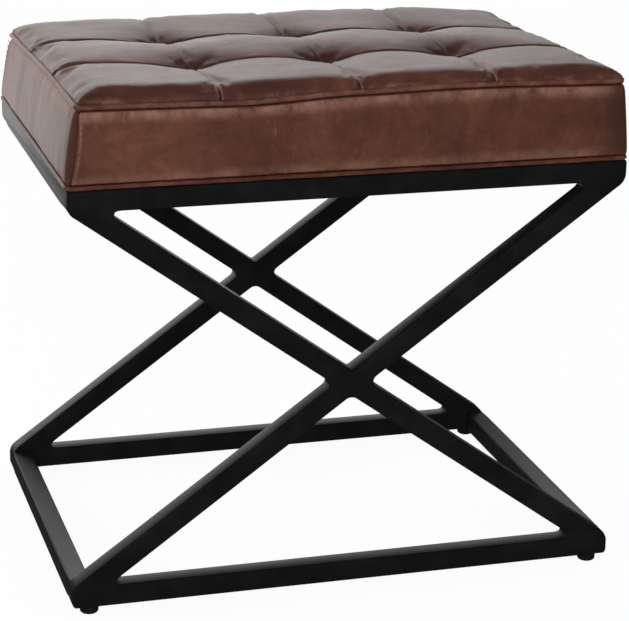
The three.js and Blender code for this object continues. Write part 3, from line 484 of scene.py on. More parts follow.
def side_leather():
    paint = Paint("waxed_leather_band")
    under_top, start, end = paint.reach()
    over_base = BAND_HIGH - BAND_LOW - under_top
    chafe = paint.noise(48, 4, 0.7, (1, 1, 0.6))
    # Paler strip under the top seam: painted highlight where the band curls up to the light, mixed with
    # wear; also paler just above the base welt.
    upper = 1 - under_top.smooth(0.003, 0.014)
    lower = 1 - over_base.smooth(0.002, 0.012)
    wear_and_highlight = (upper.most(lower * 0.5) * chafe.smooth(0.25, 0.68) * 0.85).most(chafe.smooth(0.62, 0.8) * 0.3)
    wear_and_highlight = wear_and_highlight * end.smooth(0.0, 0.02)
    ridge = 1 - (abs(start - 0.0026) / 0.0012).smooth(0.3, 1.3)
    wear_and_highlight = wear_and_highlight.most(ridge * chafe.smooth(0.35, 0.6) * 0.4)
    streak = paint.noise(26, 3, 0.6, (1, 1, 0.22))
    shade_and_dark_tone = ((1 - chafe.smooth(0.26, 0.42)) * 0.35).most((1 - streak.smooth(0.3, 0.5)) * 0.5)
    # Painted shade: darker toward the end of each band, where it turns round the corner away from the
    # light.
    shade_and_dark_tone = shade_and_dark_tone.most((1 - (end + 0.03 * (streak - 0.5)).smooth(0.012, 0.04)) * 0.85)
    # Painted shade in the grooves along both welts, half as dark along the corner seams; wear stops there
    # too.
    welts = under_top.smooth(0.0008, 0.0024) * over_base.smooth(0.0006, 0.0016)
    line = welts * (0.5 + 0.5 * start.least(end).smooth(0.0002, 0.0012))
    shade_and_dark_tone = shade_and_dark_tone.most(1.2 - 1.2 * line)
    fall = (1 - end / 0.05).most(0.0)
    dark, pale = (0.066, 0.0197, 0.0110), (0.132, 0.0450, 0.0245)
    return hide(paint, wear_and_highlight * line, shade_and_dark_tone, 0.35, dark, pale, form=fall * fall * -BAND_FALL)


def piping_leather(place, wear, dark, pale):
    paint = Paint(f"waxed_leather_{place}_piping")
    return hide(paint, wear * paint.noise(80, 3, 0.6).smooth(0.4, 0.7), 0.0, 0.35, dark, pale)


def thread():
    paint = Paint("waxed_linen_thread")
    twist, soil = paint.noise(2600, 2, 0.5), paint.noise(150, 3, 0.6)
    base = paint.mix(soil, (0.15, 0.080, 0.058), (0.30, 0.195, 0.15))
    paint.set(Base_Color=base, Roughness=0.6 + 0.2 * twist)
    return paint.relief(twist, 0.5, 0.0002)


def foam_material():
    paint = Paint("cut_foam")
    cells, cloud = paint.cells(1100), paint.noise(30, 3, 0.5)
    base = paint.mix(cloud, (0.72, 0.64, 0.42), (0.80, 0.74, 0.55))
    paint.set(Base_Color=base, Roughness=0.95 - 0.1 * cells)
    return paint.relief(cells, 0.6, 0.0006)


def board_material():
    paint = Paint("birch_plywood")
    grain = paint.noise(26, 5, 0.65, (0.12, 1, 1), distortion=0.8)
    ply = (paint.parts(paint.place)[2] / PLY).ping_pong(1.0).smooth(0.35, 0.65)
    base = paint.mix(grain.smooth(0.3, 0.7), (0.52, 0.35, 0.19), (0.68, 0.50, 0.31))
    paint.set(Base_Color=paint.mix(ply * 0.35, base, (0.33, 0.20, 0.10)), Roughness=0.6 + 0.2 * grain)
    return paint.relief(grain, 0.3, 0.0004)


WELD_DOTS = 3100  # radians per metre, for dots about 2 mm apart


def under_cloth():
    paint = Paint("black_spunbond_cloth")
    x, y, _ = paint.parts(paint.place)
    dots = (x * WELD_DOTS).sine() * (y * WELD_DOTS).sine()
    fuzz = paint.noise(500, 4, 0.7)
    base = paint.mix(fuzz, (0.011, 0.011, 0.012), (0.030, 0.030, 0.032))
    paint.set(Base_Color=base, Roughness=0.85 + 0.1 * fuzz)
    return paint.relief(0.5 * dots + fuzz, 0.5, 0.0002)


# Welded frame


def join_flat_faces(piece):
    """Cuts the piece at two planes, so that no flat face has a hole, and joins the rest of each face."""
    divide(piece, -CLEAN_CUT, CLEAN_CUT)
    mesh = edit(piece)
    for edge in mesh.edges:
        on_cut = all(near(abs(vert.co.x), CLEAN_CUT, 0.01 * MM) for vert in edge.verts)
        flat = len(edge.link_faces) == 2 and abs(edge.calc_face_angle(pi)) < radians(0.5)
        edge.select_set(flat and not on_cut)
    bmesh.update_edit_mesh(piece.data)
    bpy.ops.mesh.dissolve_edges(use_verts=True)
    done(piece)


def along_y(direction):
    return abs(direction.y) > 0.999


def near(value, target, slack=0.6 * MM):
    return abs(value - target) < slack


def round_edges(piece, test, radius, corner_angle):
    """Bevels the picked edges to a round of that radius. corner_angle is between the two faces."""
    if pick_edges(piece, test):
        width = radius / tan(corner_angle / 2)
        bpy.ops.mesh.bevel(
            offset_type="OFFSET", offset=width, segments=6, profile=0.5, affect="EDGES", clamp_overlap=False
        )
    done(piece)


def side_frame(side):
    """One X side: two rails and two crossed braces in one piece, with its welds and ground corners."""
    y0, y1 = sorted((side * HALF_DEPTH, side * (HALF_DEPTH - TUBE)))
    whole = block("welded_frame", (-HALF_WIDTH, y0, RING_BOTTOM), (HALF_WIDTH, y1, RING_TOP))
    base = block("base", (-HALF_WIDTH, y0, BASE_BOTTOM), (HALF_WIDTH, y1, BASE_TOP))
    boolean(whole, base)
    reach = FRAME_WIDTH / cos(BRACE_ANGLE) / 2
    lap = 1 * MM
    for slope in (1, -1):
        low = (-reach, y0, BRACE_MIDDLE - TUBE / 2)
        high = (reach, y1, BRACE_MIDDLE + TUBE / 2)
        brace = block("brace", low, high, slope * BRACE_ANGLE)
        cut(brace, (0, 0, RING_BOTTOM + lap), (0, 0, 1))
        cut(brace, (0, 0, BASE_TOP - lap), (0, 0, -1))
        cut(brace, (HALF_WIDTH, 0, 0), (1, 0, 0))
        cut(brace, (-HALF_WIDTH, 0, 0), (-1, 0, 0))
        boolean(whole, brace)
    merge(whole, 0.02 * MM)
    join_flat_faces(whole)

    run = TUBE / sin(BRACE_ANGLE)
    half_z = TUBE / 2 / cos(BRACE_ANGLE)
    rails = RING_BOTTOM, BASE_TOP
    rounds = (
        (HALF_WIDTH, rails, GROUND_CORNER, pi / 2 + BRACE_ANGLE),
        (HALF_WIDTH - run, rails, RAIL_WELD, BRACE_ANGLE),
        (run / 2, [BRACE_MIDDLE], CROSS_WELD_SIDE, 2 * BRACE_ANGLE),
        (0, [BRACE_MIDDLE - half_z], CROSS_WELD_LOW, pi - 2 * BRACE_ANGLE),
        (0, [BRACE_MIDDLE + half_z], CROSS_WELD_HIGH, pi - 2 * BRACE_ANGLE),
        (HALF_WIDTH, [BASE_BOTTOM], BASE_CORNER, pi / 2),
    )
    for x, levels, radius, angle in rounds:
        here = lambda p, d: along_y(d) and near(abs(p.x), x) and any(near(p.z, z) for z in levels)
        round_edges(whole, here, radius, angle)
    return whole


def rail_end_corners(bottom):
    """Level, radius and length of the ground corners that a side rail's end blends into."""
    ground = GROUND_CORNER * tan((pi / 2 - BRACE_ANGLE) / 2)
    if bottom == RING_BOTTOM:
        return [((RING_BOTTOM, 1), ground, GROUND_FADE)]
    return [((BASE_TOP, -1), ground, GROUND_FADE), ((BASE_BOTTOM, 1), BASE_CORNER, BASE_FADE)]


def soften_end(rail, end, side, corner, height, fade):
    """Slants the outer edge of a side rail's end, so that it meets the ground corner."""
    level, up = corner
    x, y = end * HALF_WIDTH, side * (HALF_DEPTH - TUBE)
    depth = BASE_CORNER if level == BASE_BOTTOM else END_SLANT
    low = Vector((x, y, level + up * height))
    over = Vector((x - end * depth, y, level))
    away = Vector((x, y - side * fade, level))
    normal = (low - away).cross(over - away).normalized()
    if normal.dot(Vector((end, 0, -up))) < 0:
        normal.negate()
    cut(rail, away, normal)


def screw_pocket(x, y):
    """Round tool that opens the ring's tube from below, up to its top wall."""
    deselect()
    low, high = RING_BOTTOM - 1 * MM, RING_TOP - TUBE_WALL
    bpy.ops.mesh.primitive_cylinder_add(
        vertices=32, radius=SCREW_POCKET, depth=high - low, location=(x, y, (low + high) / 2)
    )
    return settle("pocket")


def welded_frame(paint):
    whole = side_frame(-1)
    boolean(whole, side_frame(1))
    inner = HALF_DEPTH - TUBE
    for end in ENDS.values():
        x0, x1 = sorted((end * HALF_WIDTH, end * (HALF_WIDTH - TUBE)))
        for bottom in (RING_BOTTOM, BASE_BOTTOM):
            rail = block("rail", (x0, -inner, bottom), (x1, inner, bottom + TUBE))
            for side in SIDES.values():
                for corner, radius, fade in rail_end_corners(bottom):
                    soften_end(rail, end, side, corner, radius, fade)
            boolean(whole, rail)
    join_flat_faces(whole)
    mesh = edit(whole)
    layers, key = mesh.edges.layers.float, "bevel_weight_edge"
    weight = layers.get(key) or layers.new(key)
    for edge in mesh.edges:
        middle = (edge.verts[0].co + edge.verts[1].co) / 2
        at_step = near(abs(middle.y), inner, 0.1 * MM) and edge.calc_length() < STEP_EDGE
        at_end = abs(middle.x) > HALF_WIDTH - END_ZONE
        edge[weight] = 0.0 if at_step and at_end or edge.calc_face_angle(0) < SHARP else 1.0
    done(whole)
    rounding = {"width": TUBE_EDGE, "segments": 3, "limit_method": "WEIGHT", "miter_outer": "MITER_ARC"}
    apply_modifier(whole, "BEVEL", use_clamp_overlap=False, **rounding)
    for side in SIDES.values():
        for end in ENDS.values():
            tool = screw_pocket(end * FRAME_WIDTH / 4, side * (HALF_DEPTH - TUBE / 2))
            boolean(whole, tool, "DIFFERENCE")
    smooth_shaded(whole, radians(35))
    nodes = [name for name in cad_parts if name.endswith(("_rail", "_brace"))]
    return finish_piece(whole, paint, "frame_paint", "stool", *nodes)


# Feet


def foot_pad(corner, x, y, paint):
    """Round nylon pad with a domed sole and a recess round the insert's flange."""
    deselect()
    bpy.ops.mesh.primitive_cylinder_add(
        vertices=40, radius=PAD_DIAMETER / 2, depth=PAD_HEIGHT, location=(x, y, PAD_HEIGHT / 2)
    )
    pad = settle(f"{corner}_glide")
    for level, rounding, segments in ((0, SOLE_ROUND, 5), (PAD_HEIGHT, RIM_ROUND, 2)):
        pick_edges(pad, lambda p, d: abs(d.z) < 0.1 and near(p.z, level, 0.1 * MM))
        bpy.ops.mesh.bevel(offset=rounding, segments=segments, profile=0.5, affect="EDGES")
        done(pad)
    mesh = edit(pad, "FACE")
    for face in mesh.faces:
        if face.normal.z > 0.9 and near(face.calc_center_median().z, PAD_HEIGHT, 0.05 * MM):
            face.select_set(True)
    bmesh.update_edit_mesh(pad.data)
    bpy.ops.mesh.inset(thickness=RIM_WIDTH)
    bpy.ops.mesh.extrude_region_move(TRANSFORM_OT_translate={"value": (0, 0, -RECESS_DEPTH)})
    done(pad)
    smooth_shaded(pad, SHARP)
    return finish_piece(pad, paint, "foot_nylon", f"{corner}_foot", f"{corner}_foot_pad")


# Cushion shape


def bell(value, width, power=2):
    """1 at 0, and soft down to 0 past the width."""
    return np.exp(-((value / width) ** power))


def smooth_noise(points, size, seed):
    """Soft noise between about -1 and 1 at each point, with bumps of that size."""
    shift = Vector((7.3 * seed, 3.1 * seed, 5.7 * seed))
    flat = points.reshape(-1, 3) / size
    values = [noise.fractal(Vector(p) + shift, 1.0, 2.0, 1) for p in flat]
    return 1.6 * np.array(values).reshape(points.shape[:-1])


def blend_rows(at, count):
    """Matrix of smooth weights that reads a row of `count` values at fractional places."""
    weights = np.zeros((len(at), count))
    low = np.clip(np.floor(at).astype(int), 0, count - 2)
    t = at - low
    cubic = (
        (-t + 2 * t**2 - t**3) / 2,
        (2 - 5 * t**2 + 3 * t**3) / 2,
        (t + 4 * t**2 - 3 * t**3) / 2,
        (-(t**2) + t**3) / 2,
    )
    for step, weight in enumerate(cubic):
        place = np.clip(low + step - 1, 0, count - 1)
        np.add.at(weights, (np.arange(len(at)), place), weight)
    return weights


def side_lift(name, value):
    at, level = np.array(TOP_SEAM_LIFT[name]).T * MM
    index = np.interp(value.ravel(), at, np.arange(len(at)))
    return (blend_rows(index, len(at)) @ level).reshape(value.shape)


def edge_lift(x, y):
    """How far the top seam wanders above its level, carried over the whole top from its four sides."""
    u = np.clip(x / TOP_HALF_X / 2 + 0.5, 0, 1)
    v = np.clip(y / TOP_HALF_Y / 2 + 0.5, 0, 1)
    corner = lambda name, end: TOP_SEAM_LIFT[name][end][1] * MM
    sides = (1 - v) * side_lift("front", x) + v * side_lift("back", x)
    sides = sides + (1 - u) * side_lift("left", y) + u * side_lift("right", y)
    low = (1 - u) * corner("front", 0) + u * corner("front", -1)
    high = (1 - u) * corner("back", 0) + u * corner("back", -1)
    return sides - (1 - v) * low - v * high


def inner_seams(half, count):
    pitch = 2 * half / count
    return [-half + k * pitch for k in range(1, count)]


SEAMS_X = inner_seams(TOP_HALF_X, COLUMNS)
SEAMS_Y = inner_seams(TOP_HALF_Y, ROWS)
TUFTS = [(x, y) for y in SEAMS_Y for x in SEAMS_X]


def to_seams(values, seams):
    return np.min([np.abs(values - seam) for seam in seams], axis=0)


def shoulder_leather(shoulders):
    """Length of leather over the low and the high shoulder of one side."""
    return [1.03 * hypot(width, SEAM_RISE + PILLOW_RISE) for width in shoulders]


def across(path, half, shoulders):
    """Place across one side, and share of the full height, for distances along the leather."""
    low, high = shoulders
    first, last = shoulder_leather(shoulders)
    length = first + last + 2 * half - low - high
    turn_low = np.clip(path / first, 0, 1) * pi / 2
    turn_high = np.clip((length - path) / last, 0, 1) * pi / 2
    place = np.clip(path - first, 0, length - first - last) + low - half
    full = lambda wave: np.maximum(wave, 0) ** SHOULDER_FULLNESS
    place = place - low * full(np.cos(turn_low)) + high * full(np.cos(turn_high))
    return place, full(np.sin(turn_low)) * full(np.sin(turn_high)), np.minimum(path, length - path)


def seam_paths(half, count, shoulders):
    """The same distances for the edges and the inner seams."""
    low, high = shoulders
    first, last = shoulder_leather(shoulders)
    pitch = 2 * half / count
    inner = [first - low + k * pitch for k in range(1, count)]
    return [0, *inner, first + last + 2 * half - low - high]


PATH_X = seam_paths(TOP_HALF_X, COLUMNS, SHOULDERS_X)
PATH_Y = seam_paths(TOP_HALF_Y, ROWS, SHOULDERS_Y)


def graded(stops, offsets):
    """Distances between stops, with the same close steps from every stop."""
    lines = []
    for low, high in zip(stops, stops[1:]):
        steps = [step for step in offsets if step < (high - low) / 2 - offsets[1]]
        lines += [low + step for step in steps]
        lines.append((low + high) / 2)
        lines += [high - step for step in reversed(steps[1:])]
    return np.array([*lines, stops[-1]])


def even(stops, step):
    lines = []
    for low, high in zip(stops, stops[1:]):
        count = ceil((high - low) / step)
        lines += [low + (high - low) * k / count for k in range(count)]
    return np.array([*lines, stops[-1]])


def round_plan(x, y, radius=CORNER_HIGH):
    """Rounds the corners of the plan: the square at a corner goes to a quarter of a disc."""
    u = np.clip((np.abs(x) - TOP_HALF_X + radius) / radius, 0, 1)
    v = np.clip((np.abs(y) - TOP_HALF_Y + radius) / radius, 0, 1)
    pulled_x = radius * (u - u * np.sqrt(1 - v * v / 2))
    pulled_y = radius * (v - v * np.sqrt(1 - u * u / 2))
    return x - np.sign(x) * pulled_x, y - np.sign(y) * pulled_y


def crown(x, y):
    """Height of the padded top over its sewn edge, away from the shoulder."""
    height = SEAM_RISE - FRONT_TO_BACK * y / TOP_HALF_Y
    height = height + CROWN_RISE * (1 - (x / TOP_HALF_X) ** 2) * (1 - (y / TOP_HALF_Y) ** 2)
    height = height + MIDDLE_RISE * bell(y, MIDDLE_WIDTH) * (1 - 0.5 * (x / TOP_HALF_X) ** 2)
    to_column, to_row = to_seams(x, SEAMS_X), to_seams(y, SEAMS_Y)
    row_depth = 0.5 + 0.5 * bell(to_column, ROW_SPREAD)
    pillow = 1 - row_depth * bell(to_row, ROW_ROLL, 1.3)
    height = height + PILLOW_RISE * pillow * (1 - 0.4 * bell(to_column, COLUMN_ROLL, 1.3))
    for tuft_x, tuft_y in TUFTS:
        away = np.hypot(x - tuft_x, y - tuft_y)
        height = height - TUFT_DEPTH * bell(away, TUFT_REACH, 1.2)
    return height


def top_surface(path_x, path_y):
    """Points of the smooth top for distances along the leather, with the distances to its edges."""
    x, share_x, edge_x = across(path_x, TOP_HALF_X, SHOULDERS_X)
    y, share_y, edge_y = across(path_y, TOP_HALF_Y, SHOULDERS_Y)
    x, y = np.meshgrid(x, y, indexing="ij")
    plan_x, plan_y = round_plan(x, y)
    share_x, share_y = np.meshgrid(share_x, share_y, indexing="ij")
    both = share_x * share_y
    share = both / np.sqrt(np.maximum(share_x**2 + share_y**2 - both**2, 1e-9))
    z = TOP_EDGE + crown(plan_x, plan_y) * share + edge_lift(plan_x, plan_y) * (1 - 0.6 * share)
    ramp = lambda value, low, high: np.sin(np.clip((value - low) / (high - low), 0, 1) * pi / 2) ** 2
    z = z - RIGHT_SAG * share * ramp(plan_x, SAG_FROM_X, SAG_TO_X) * ramp(plan_y, SAG_FROM_Y, SAG_TO_Y)
    edge = np.minimum(*np.meshgrid(edge_x, edge_y, indexing="ij"))
    return np.stack((plan_x + TOP_SHIFT, plan_y, z), axis=-1), edge


def grid_faces(rows, columns):
    corner = np.arange(rows * columns).reshape(rows, columns)
    faces = np.stack((corner[:-1, :-1], corner[1:, :-1], corner[1:, 1:], corner[:-1, 1:]), axis=-1)
    return faces.reshape(-1, 4).tolist()


def normals(points):
    along = np.gradient(points, axis=0)
    over = np.gradient(points, axis=1)
    normal = np.cross(along, over)
    return normal / np.maximum(np.linalg.norm(normal, axis=-1, keepdims=True), 1e-12)


def mesh_piece(name, points, faces):
    mesh = bpy.data.meshes.new(name)
    mesh.from_pydata(points.reshape(-1, 3).tolist(), [], faces)
    return new_object(name, mesh)


def keep_reach(piece, *distances):
    """Stores three distances to seams at each point, for the material."""
    layer = piece.data.attributes.new("reach", "FLOAT_VECTOR", "POINT")
    layer.data.foreach_set("vector", np.stack(np.broadcast_arrays(*distances), axis=-1).ravel())


def swell(points, held, pressure, slack, most):
    """How far a skin of points moves when cloth simulation blows it up between its held points."""
    skin = mesh_piece("swelling_skin", points, grid_faces(*points.shape[:2]))
    skin.vertex_groups.new(name="held").add(np.flatnonzero(held).tolist(), 1.0, "REPLACE")
    cloth = skin.modifiers.new("cloth", "CLOTH")
    cloth.point_cache.frame_start, cloth.point_cache.frame_end = 1, 20
    rules = cloth.settings
    rules.vertex_group_mass = "held"
    rules.quality = 6
    rules.tension_stiffness = rules.compression_stiffness = 18
    rules.shear_stiffness = 8
    rules.bending_stiffness = 0.6
    rules.shrink_min = -slack
    rules.use_pressure = True
    rules.uniform_pressure_force = pressure
    rules.effector_weights.gravity = 0
    for number in range(1, 21):
        bpy.context.scene.frame_set(number)
    seen = skin.evaluated_get(bpy.context.evaluated_depsgraph_get())
    moved = np.empty(points.size)
    seen.data.vertices.foreach_get("co", moved)
    bpy.data.objects.remove(skin)
    bpy.context.scene.frame_set(1)
    shift = moved.reshape(points.shape) - points
    size = np.maximum(np.linalg.norm(shift, axis=-1, keepdims=True), 1e-9)
    return shift * most * np.tanh(size / most) / size


def swollen_by(path_x, path_y):
    """The simulated swelling of the top, read at the given distances along the leather."""
    coarse_x, coarse_y = even(PATH_X, 4.2 * MM), even(PATH_Y, 4.2 * MM)
    points, _ = top_surface(coarse_x, coarse_y)
    on_x = to_seams(coarse_x, PATH_X) < 0.1 * MM
    on_y = to_seams(coarse_y, PATH_Y) < 0.1 * MM
    held = np.logical_or.outer(on_x, on_y)
    shift = swell(points, held, pressure=2.5, slack=0.025, most=1.4 * MM)
    index_x = np.interp(path_x, coarse_x, np.arange(len(coarse_x)))
    index_y = np.interp(path_y, coarse_y, np.arange(len(coarse_y)))
    rows, columns = blend_rows(index_x, len(coarse_x)), blend_rows(index_y, len(coarse_y))
    return np.einsum("ai,ijk,bj->abk", rows, shift, columns)


def top_detail(points, edge):
    """Height of the fine forms on the top: sewn creases, puckers, folds at the tufts, and wander."""
    x, y = points[..., 0] - TOP_SHIFT, points[..., 1]
    seam_x, seam_y = to_seams(x, SEAMS_X), to_seams(y, SEAMS_Y)
    groove = lambda seam, depth, width: -depth * bell(seam, width * MM, 1.2)
    crease = np.minimum(groove(seam_x, 1.5, 1.2), groove(seam_y, 2.0, 1.5))
    crease = crease + groove(seam_y, 1.0, 2.2) * bell(edge, 16 * MM)
    seam = np.minimum(seam_x, seam_y)
    crease = crease + 0.22 * bell(seam - 4.5 * MM, 2.5 * MM) - 0.9 * bell(edge, 1.8 * MM, 1)
    along_x = points * (1, 0.12, 0.12)
    along_y = points * (0.12, 1, 0.12)
    pucker = smooth_noise(along_y, 7 * MM, 1) * bell(seam_x, 6 * MM, 1)
    pucker = pucker + smooth_noise(along_x, 7 * MM, 2) * bell(seam_y, 6 * MM, 1)
    at_front = np.abs(y) / TOP_HALF_Y > np.abs(x) / TOP_HALF_X
    pulled = np.where(at_front, smooth_noise(along_x, 9 * MM, 3), smooth_noise(along_y, 9 * MM, 4))
    pucker = pucker + (0.5 + 2 * at_front) * pulled * bell(edge, 7 * MM, 1)
    folds = 0.0
    for number, (tuft_x, tuft_y) in enumerate(TUFTS):
        away = np.hypot(x - tuft_x, y - tuft_y)
        turn = np.arctan2(y - tuft_y, x - tuft_x)
        ring = np.stack((np.cos(turn), np.sin(turn), 0 * turn), axis=-1) + 0.006 * away[..., None] / MM
        folds = folds + smooth_noise(ring, 0.28, 10 + number) * bell(away - 13 * MM, 11 * MM)
    wander = 0.35 * smooth_noise(points, 45 * MM, 5) + 0.12 * smooth_noise(points, 15 * MM, 6)
    calm = np.clip(seam / (5 * MM), 0, 1)
    return (crease + 0.1 * pucker + 0.12 * folds * calm + wander) * MM


def tucked(points, steps):
    """Adds rows round the border that go in and down behind the welt."""
    for inward, down in steps:
        points = np.pad(points, ((1, 1), (1, 1), (0, 0)), mode="edge")
        level = points[..., 2].copy()
        points[0, :, 0] += inward
        points[-1, :, 0] -= inward
        points[:, 0, 1] += inward
        points[:, -1, 1] -= inward
        points[[0, -1], :, 2] = level[[0, -1], :] - down
        points[:, [0, -1], 2] = level[:, [0, -1]] - down
    return points


def leather_top(paint):
    """The twelve tufted squares of leather, sewn together."""
    offsets = np.array(NEAR_SEAM + FAR_FROM_SEAM) * MM
    path_x, path_y = graded(PATH_X, offsets), graded(PATH_Y, offsets)
    points, edge = top_surface(path_x, path_y)
    points = points + swollen_by(path_x, path_y)
    points = points + normals(points) * top_detail(points, edge)[..., None]
    points = tucked(points, TUCKS)
    seam_x, seam_y = to_seams(path_x, PATH_X[1:-1]), to_seams(path_y, PATH_Y[1:-1])
    top = mesh_piece("tufted_leather_top", points, grid_faces(*points.shape[:2]))
    seam_x, seam_y = np.pad(seam_x, 2, "edge"), np.pad(seam_y, 2, "edge")
    keep_reach(top, np.pad(edge, 2), seam_x[:, None], seam_y[None, :])
    thicken(top, LEATHER)
    nodes = [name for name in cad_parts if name.startswith("top_square")]
    finish_piece(top, paint, "hide", "stool", *nodes)


def foam_core(paint):
    """Foam under the leather, down to the board."""
    points, _ = top_surface(even(PATH_X, 9 * MM), even(PATH_Y, 9 * MM))
    points = points - normals(points) * FOAM_UNDER
    rows, columns = points.shape[:2]
    faces = grid_faces(rows, columns)
    corner = np.arange(rows * columns).reshape(rows, columns)
    rim = [*corner[:-1, 0], *corner[-1, :-1], *corner[:0:-1, -1], *corner[0, :0:-1]]
    foot = points.reshape(-1, 3)[rim] * (1, 1, 0) + (0, 0, BOARD_TOP)
    base = list(range(rows * columns, rows * columns + len(rim)))
    for k, upper in enumerate(rim):
        following = (k + 1) % len(rim)
        faces.append((int(upper), base[k], base[following], int(rim[following])))
    faces.append(base[::-1])
    block = mesh_piece("foam_core", np.vstack((points.reshape(-1, 3), foot)), faces)
    smooth_shaded(block, SHARP)
    finish_piece(block, paint, "foam", "stool", "foam_block")


def tuft_tie(name, x, y, paint):
    """Cord from a toggle under the board to a knot under the leather of one tuft."""
    low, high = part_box(name)
    top = TOP_EDGE + float(crown(np.array(x), np.array(y))) - KNOT_DEPTH
    toggle = (0, 0.0), (7.2, 0.0), (7.5, 0.3), (7.5, 0.7), (7.2, 1.0), (1.0, 1.0)
    knot = (1.0, -2.6), (2.1, -2.1), (2.5, -1.3), (2.1, -0.4), (1.0, 0.0), (0, 0.0)
    profile = [(r * MM, low[2] + z * MM) for r, z in toggle] + [(r * MM, top + z * MM) for r, z in knot]
    radius, level = np.array(profile).T
    turn = np.linspace(0, 2 * pi, 25)
    middle_x, middle_y = (low[0] + high[0]) / 2, (low[1] + high[1]) / 2
    around_x = middle_x + np.outer(np.cos(turn), radius)
    around_y = middle_y + np.outer(np.sin(turn), radius)
    points = np.stack((around_x, around_y, 0 * around_x + level), axis=-1)
    tie = mesh_piece(f"{name}_cord", points, grid_faces(*points.shape[:2]))
    merge(tie, 0.01 * MM)
    edit(tie, everything=True)
    bpy.ops.mesh.normals_make_consistent(inside=False)
    done(tie)
    smooth_shaded(tie, radians(50))
    return finish_piece(tie, paint, "twine", "stool", name)


REACH_X, REACH_Y = SEAT_HALF_X - CORNER_LOW, SEAT_HALF_Y - CORNER_LOW
QUARTER_ARC = CORNER_LOW * pi / 2
EDGE_LENGTH = 4 * (REACH_X + REACH_Y + QUARTER_ARC)


def outline(share):
    """Half sizes, corner radius and shift of the cushion's plan at a share of the side's height."""
    curl = np.clip((share - CURL_SHARE) / (1 - CURL_SHARE), 0, 1) ** 2
    lean = LEAN_SHARE * share + (1 - LEAN_SHARE) * curl
    arch = np.sin(pi * np.clip(share, 0, 1))
    bulge = BAND_BULGE * arch**0.8
    half_x = SEAT_HALF_X + bulge - (SEAT_HALF_X - TOP_HALF_X) * lean
    half_y = SEAT_HALF_Y + bulge - (SEAT_HALF_Y - TOP_HALF_Y) * lean
    corner = CORNER_LOW + (CORNER_HIGH - CORNER_LOW) * share + CORNER_SWELL * arch
    return half_x, half_y, corner, TOP_SHIFT * lean


def edge_place(walk, share=0.0, out=0.0):
    """Place and outward normal on the sides, walked anticlockwise from the front left."""
    walk, share, out = np.broadcast_arrays(np.mod(walk, EDGE_LENGTH), share, out)
    half_x, half_y, corner, shift = outline(share)
    place, outward = np.zeros((*walk.shape, 2)), np.zeros((*walk.shape, 2))
    start = 0.0
    corners = ((-1, -1), (1, -1), (1, 1), (-1, 1))
    for number, (sign_x, sign_y) in enumerate(corners):
        next_x, next_y = corners[(number + 1) % 4]
        length = 2 * (REACH_X if number % 2 == 0 else REACH_Y)
        along = np.clip((walk - start) / length, 0, 1)
        angle = (number - 1) * pi / 2 + np.clip((walk - start - length) / CORNER_LOW, 0, pi / 2)
        normal = np.stack((np.cos(angle), np.sin(angle)), axis=-1)
        centre_x = (half_x - corner) * (sign_x + (next_x - sign_x) * along) + shift
        centre_y = (half_y - corner) * (sign_y + (next_y - sign_y) * along)
        spot = np.stack((centre_x, centre_y), axis=-1) + (corner + out)[..., None] * normal
        here = (walk >= start) & (walk < start + length + QUARTER_ARC)
        place[here], outward[here] = spot[here], normal[here]
        start += length + QUARTER_ARC
    return place, outward


def seam_level_lift(walk):
    """Lift of the top seam at a place on the walk round the sides."""
    place, _ = edge_place(walk, 1.0)
    return edge_lift(place[..., 0] - TOP_SHIFT, place[..., 1])


SEAM_TURN = CORNER_LOW * CORNER_SEAM
FRONT_RIGHT = 2 * REACH_X + QUARTER_ARC
BACK_RIGHT = FRONT_RIGHT + 2 * REACH_Y + QUARTER_ARC
BACK_LEFT = BACK_RIGHT + 2 * REACH_X + QUARTER_ARC
SEAM_WALKS = [corner - SEAM_TURN for corner in (0, FRONT_RIGHT, BACK_RIGHT, BACK_LEFT, EDGE_LENGTH)]
BANDS = dict(zip(("front", "right", "back", "left"), zip(SEAM_WALKS, SEAM_WALKS[1:])))


